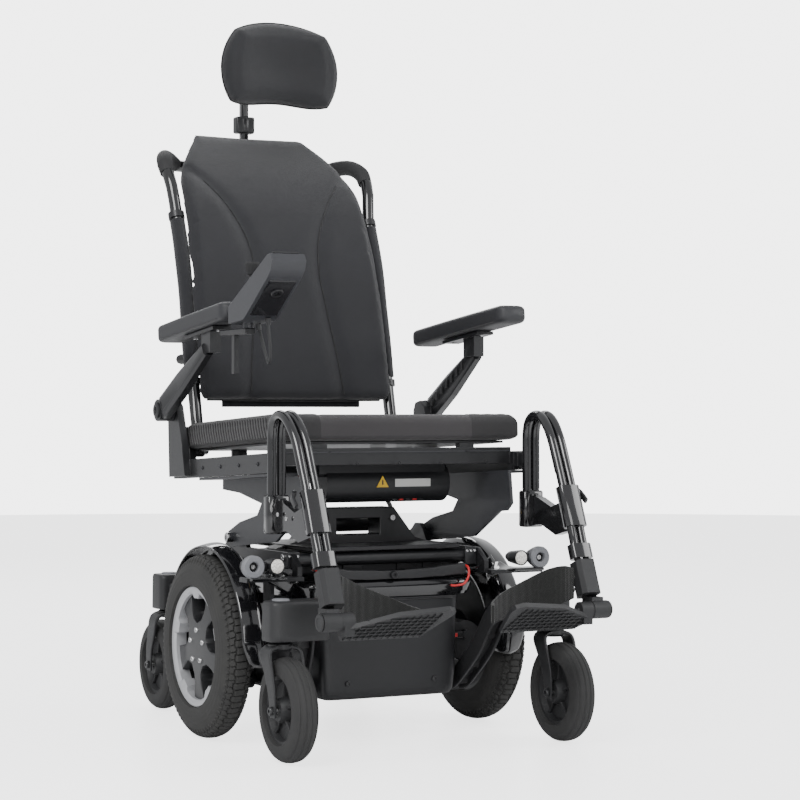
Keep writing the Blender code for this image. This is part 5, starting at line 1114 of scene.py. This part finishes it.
# ---------------------------------------------------------------- legs
def legrest(side, sign):
    """Hanger tubes, clamp, telescoping leg, footplate and heel loop."""
    hanger, leg, foot = f"legrest_{side}", f"leg_tube_{side}", f"footplate_{side}"
    refined(f"legrest_hanger_{side}", hanger, "gloss_tube", 0.0012, 52)
    x = sign * 0.257
    bow = [(-0.258, 0.455), (-0.258, 0.50), (-0.259, 0.560), (-0.272, 0.585), (-0.298, 0.591),
           (-0.325, 0.578), (-0.352, 0.545), (-0.378, 0.490)]
    for k, dx in enumerate((-0.009, 0.009)):
        shift = np.interp(np.arange(8), [0, 4, 5, 6, 7], [0, 0, -0.001, -0.003, -0.0036]) * sign
        line = [(x + dx + w, y, z) for (y, z), w in zip(bow, shift)]
        carry(pipe(f"hanger_tube_{side}_{k + 1}", line, 0.0083, 28, 9), hanger, "gloss_tube")
    refined(f"leg_tube_{side}", leg, "matte_plastic", 0.0022, 35)
    x = sign * 0.257
    lever = [(x + sign * 0.018, -0.372, 0.4585), (x + sign * 0.024, -0.376, 0.456),
             (x + sign * 0.028, -0.388, 0.448), (x + sign * 0.029, -0.402, 0.437)]
    rings = sweep_rings(spline(at(lever), 6), soft_section(0.0030, 0.0060, 0.4, 20),
                        [1.1] * 6 + [1.0] * 6 + [0.9] * 7)
    carry(skin(f"release_lever_{side}", rings), hanger, "satin_black")
    for i, (y, z) in enumerate(((-0.290, 0.420), (-0.325, 0.414))):
        bolt(f"web_screw_{side}_{i + 1}", (x + sign * 0.0115, y, z), (sign, 0, 0), 0.0040, hanger,
             "bright_steel", 0.002)
    for k, out in enumerate((-1, 1)):
        disc = [(0.0, 0.0), (0.0135, 0.0), (0.0150, 0.0012), (0.0150, 0.0028), (0.0135, 0.0042),
                (0.0085, 0.0042), (0.0080, 0.0034), (0.0, 0.0034)]
        place = (x + (sign * 0.0211 if out > 0 else -sign * 0.0122), -0.481, 0.250)
        carry(revolve(f"ankle_disc_{side}_{k + 1}", at(place), (out * sign, 0, 0), disc, 44), leg,
              "matte_plastic")
    refined(f"footplate_{side}", foot, "matte_plastic", 0.0028, 30, 3)
    tilt = math.radians(28)
    along = np.array([0.0, -math.cos(tilt), math.sin(tilt)])
    normal = np.array([0.0, math.sin(tilt), math.cos(tilt)])
    heel = np.array([0.0, -0.449, 0.214])
    paths = []
    for xa in np.arange(0.082, 0.226, 0.012):
        reach = np.interp(xa, [0.072, 0.160, 0.214, 0.2405], [0.110, 0.094, 0.058, 0.042])
        paths.append([(sign * xa, 0, 0) + heel + along * s - normal * 0.0008
                      for s in (0.008, reach * 0.5, reach - 0.006)])
    carry(bars(f"plate_ribs_{side}", paths, soft_section(0.0010, 0.0020, 0.4, 10)), foot, "matte_plastic")
    paths = []
    for s in np.arange(0.016, 0.100, 0.014):
        far = np.interp(s, [0.0, 0.046, 0.062, 0.098, 0.112], [0.226, 0.226, 0.208, 0.152, 0.080])
        if far > 0.092:
            paths.append([(sign * xa, 0, 0) + heel + along * s - normal * 0.0008
                          for xa in (0.078, (0.078 + far) / 2, far)])
    carry(bars(f"plate_cross_ribs_{side}", paths, soft_section(0.0010, 0.0020, 0.4, 10),
               up=(0, 0.88, -0.47)), foot, "matte_plastic")
    for i in range(8):
        xa = 0.098 + i * 0.015
        centre = heel + along * 0.050 + normal * 0.0083
        path = [centre + along * s + (sign * xa, 0, 0) for s in (-0.022, 0.0, 0.022)]
        rings = sweep_rings(at(path), soft_section(0.0020, 0.0007, 0.4, 12))
        carry(skin(f"plate_tread_{side}_{i + 1}", rings), foot, "satin_black")
    edge = [(0.226, 0.0015), (0.160, 0.0015), (0.084, 0.0015)]
    path = [heel + along * b + (sign * a, 0, 0) + normal * 0.004 for a, b in edge]
    rings = sweep_rings(spline(at(path), 8), soft_section(0.0032, 0.0028, 0.4, 16), up=(0, 0, 1))
    carry(skin(f"plate_edge_{side}", rings), foot, "grey_steel")
    stations = np.array([(.2275, -.452, .268, .322), (.222, -.428, .258, .325), (.200, -.408, .244, .318),
                         (.160, -.400, .236, .300),
                         (.115, -.404, .232, .282), (.085, -.418, .230, .268), (.072, -.440, .229, .262)])
    curve = spline(stations[:, :3], 10)
    high = spline(np.stack([stations[:, 0], stations[:, 1], stations[:, 3]], axis=1), 10)[:, 2]
    slope = np.gradient(curve[:, :2], axis=0)
    slope /= np.linalg.norm(slope, axis=1)[:, None]
    out = np.stack([slope[:, 1], -slope[:, 0]], axis=1)
    section = soft_section(1.0, 1.0, 0.22, 48)
    rings = []
    for k, ((cx, cy, low), top, n) in enumerate(zip(curve, high, out)):
        thick, half = 0.0022, (top - low) / 2 - 0.0005
        ripple = 0.0006 * math.sin(k * 1.7)
        rings.append(np.stack([sign * (cx + n[0] * (section[:, 0] * thick + ripple)),
                               cy + n[1] * (section[:, 0] * thick + ripple),
                               (low + top) / 2 + section[:, 1] * half], axis=1))
    loop = skin(f"heel_strap_{side}", at(np.array(rings)), smooth_angle=55)
    carry(loop, foot, "loop_fabric", f"heel_loop_{side}", slot="loop_fabric")
    for i, (level, name) in enumerate(((0.10, "low"), (0.90, "high"))):
        line = []
        for (cx, cy, low), top, n in list(zip(curve, high, out))[4:-4]:
            line.append((sign * (cx + n[0] * 0.0026), cy + n[1] * 0.0026, low + (top - low) * level))
        rings = sweep_rings(at(line), round_section(0.0007, 6), up=(0, 0, 1))
        carry(skin(f"strap_stitch_{name}_{side}", rings), foot, "seam_thread")
    for i, z in enumerate((0.283, 0.306)):
        bolt(f"strap_screw_{side}_{i + 1}", (sign * 0.2308, -0.447, z), (sign, -0.2, 0), 0.0038, foot,
             "bright_steel", 0.002)


# ---------------------------------------------------------------- the whole
def studio():
    """A pale floor with a faint sheen, soft lights and the camera."""
    floor = bpy.data.objects.new("studio_floor", bpy.data.meshes.new("studio_floor"))
    turn = np.linspace(0, 2 * np.pi, 96, endpoint=False)
    ring = np.stack([9 * np.cos(turn), 9 * np.sin(turn), 0 * turn - 0.0005], axis=1)
    floor.data.from_pydata(ring.tolist(), [], [list(range(96))])
    look = Look("studio_floor", Base_Color=(0.88, 0.88, 0.885, 1.0), Roughness=0.30)
    look.shader.inputs["Specular IOR Level"].default_value = 0.35
    glow = look.tree.nodes.new("ShaderNodeEmission")
    glow.inputs["Color"].default_value, glow.inputs["Strength"].default_value = (1.0, 1.0, 1.0, 1.0), 2.3
    both, mixed = look.tree.nodes.new("ShaderNodeAddShader"), look.tree.nodes.new("ShaderNodeMixShader")
    look.tree.links.new(look.shader.outputs[0], both.inputs[0])
    look.tree.links.new(glow.outputs[0], both.inputs[1])
    look.tree.links.new(look.tree.nodes.new("ShaderNodeLightPath").outputs["Is Camera Ray"],
                        mixed.inputs[0])
    look.tree.links.new(look.shader.outputs[0], mixed.inputs[1])
    look.tree.links.new(both.outputs[0], mixed.inputs[2])
    look.tree.links.new(mixed.outputs[0], look.tree.nodes["Material Output"].inputs["Surface"])
    floor.data.materials.append(look.material)
    bpy.context.scene.collection.objects.link(floor)
    world = bpy.data.worlds.new("studio")
    world.use_nodes = True
    sky = world.node_tree.nodes["Background"]
    sky.inputs["Color"].default_value, sky.inputs["Strength"].default_value = (0.95, 0.96, 0.98, 1.0), 0.80
    seen = world.node_tree.nodes.new("ShaderNodeBackground")
    rays = world.node_tree.nodes.new("ShaderNodeLightPath")
    seen.inputs["Color"].default_value, seen.inputs["Strength"].default_value = (1.0, 1.0, 1.0, 1.0), 4.6
    mixed = world.node_tree.nodes.new("ShaderNodeMixShader")
    link = world.node_tree.links.new
    link(rays.outputs["Is Camera Ray"], mixed.inputs[0])
    link(sky.outputs[0], mixed.inputs[1])
    link(seen.outputs[0], mixed.inputs[2])
    link(mixed.outputs[0], world.node_tree.nodes["World Output"].inputs["Surface"])
    bpy.context.scene.world = world
    for name, place, size, power in (("key", (-2.6, -2.2, 3.2), 2.2, 120.0),
                                     ("fill", (2.8, -1.8, 2.0), 2.0, 45.0),
                                     ("front", (-0.8, -4.4, 1.4), 1.6, 30.0),
                                     ("back", (0.6, 3.2, 3.0), 2.2, 60.0)):
        data = bpy.data.lights.new("light_" + name, "AREA")
        data.size, data.energy, data.shape = size, power, "DISK"
        light = bpy.data.objects.new("light_" + name, data)
        light.location = place
        direction = Vector((0.0, 0.0, 0.6)) - light.location
        light.rotation_euler = direction.to_track_quat("-Z", "Y").to_euler()
        bpy.context.scene.collection.objects.link(light)
    data = bpy.data.cameras.new("camera")
    data.lens, data.sensor_width = 98.86, 36.0
    camera = bpy.data.objects.new("camera", data)
    camera.location = (-1.8293, -3.7143, 0.594)
    camera.rotation_euler = (math.pi / 2 + 0.0061, 0.0, -0.4801)
    bpy.context.scene.collection.objects.link(camera)
    bpy.context.scene.camera = camera


for side, sign in SIDES:
    drive_tyre(side, sign)
    drive_rim(side, sign)
    mudguard(side, sign)
    lamps(side, sign)
    for end in ("front", "rear"):
        caster_wheel(end, side, sign)
        fork(end, side)
        suspension_arm(end, side, sign)
shroud()
front_cover()
base_details()
back_cushion()
back_frame()
headrest()
seat_cushion()
cushion_ribs()
seat_frame()
for side, sign in SIDES:
    armrest(side, sign)
    legrest(side, sign)
controller()
studio()
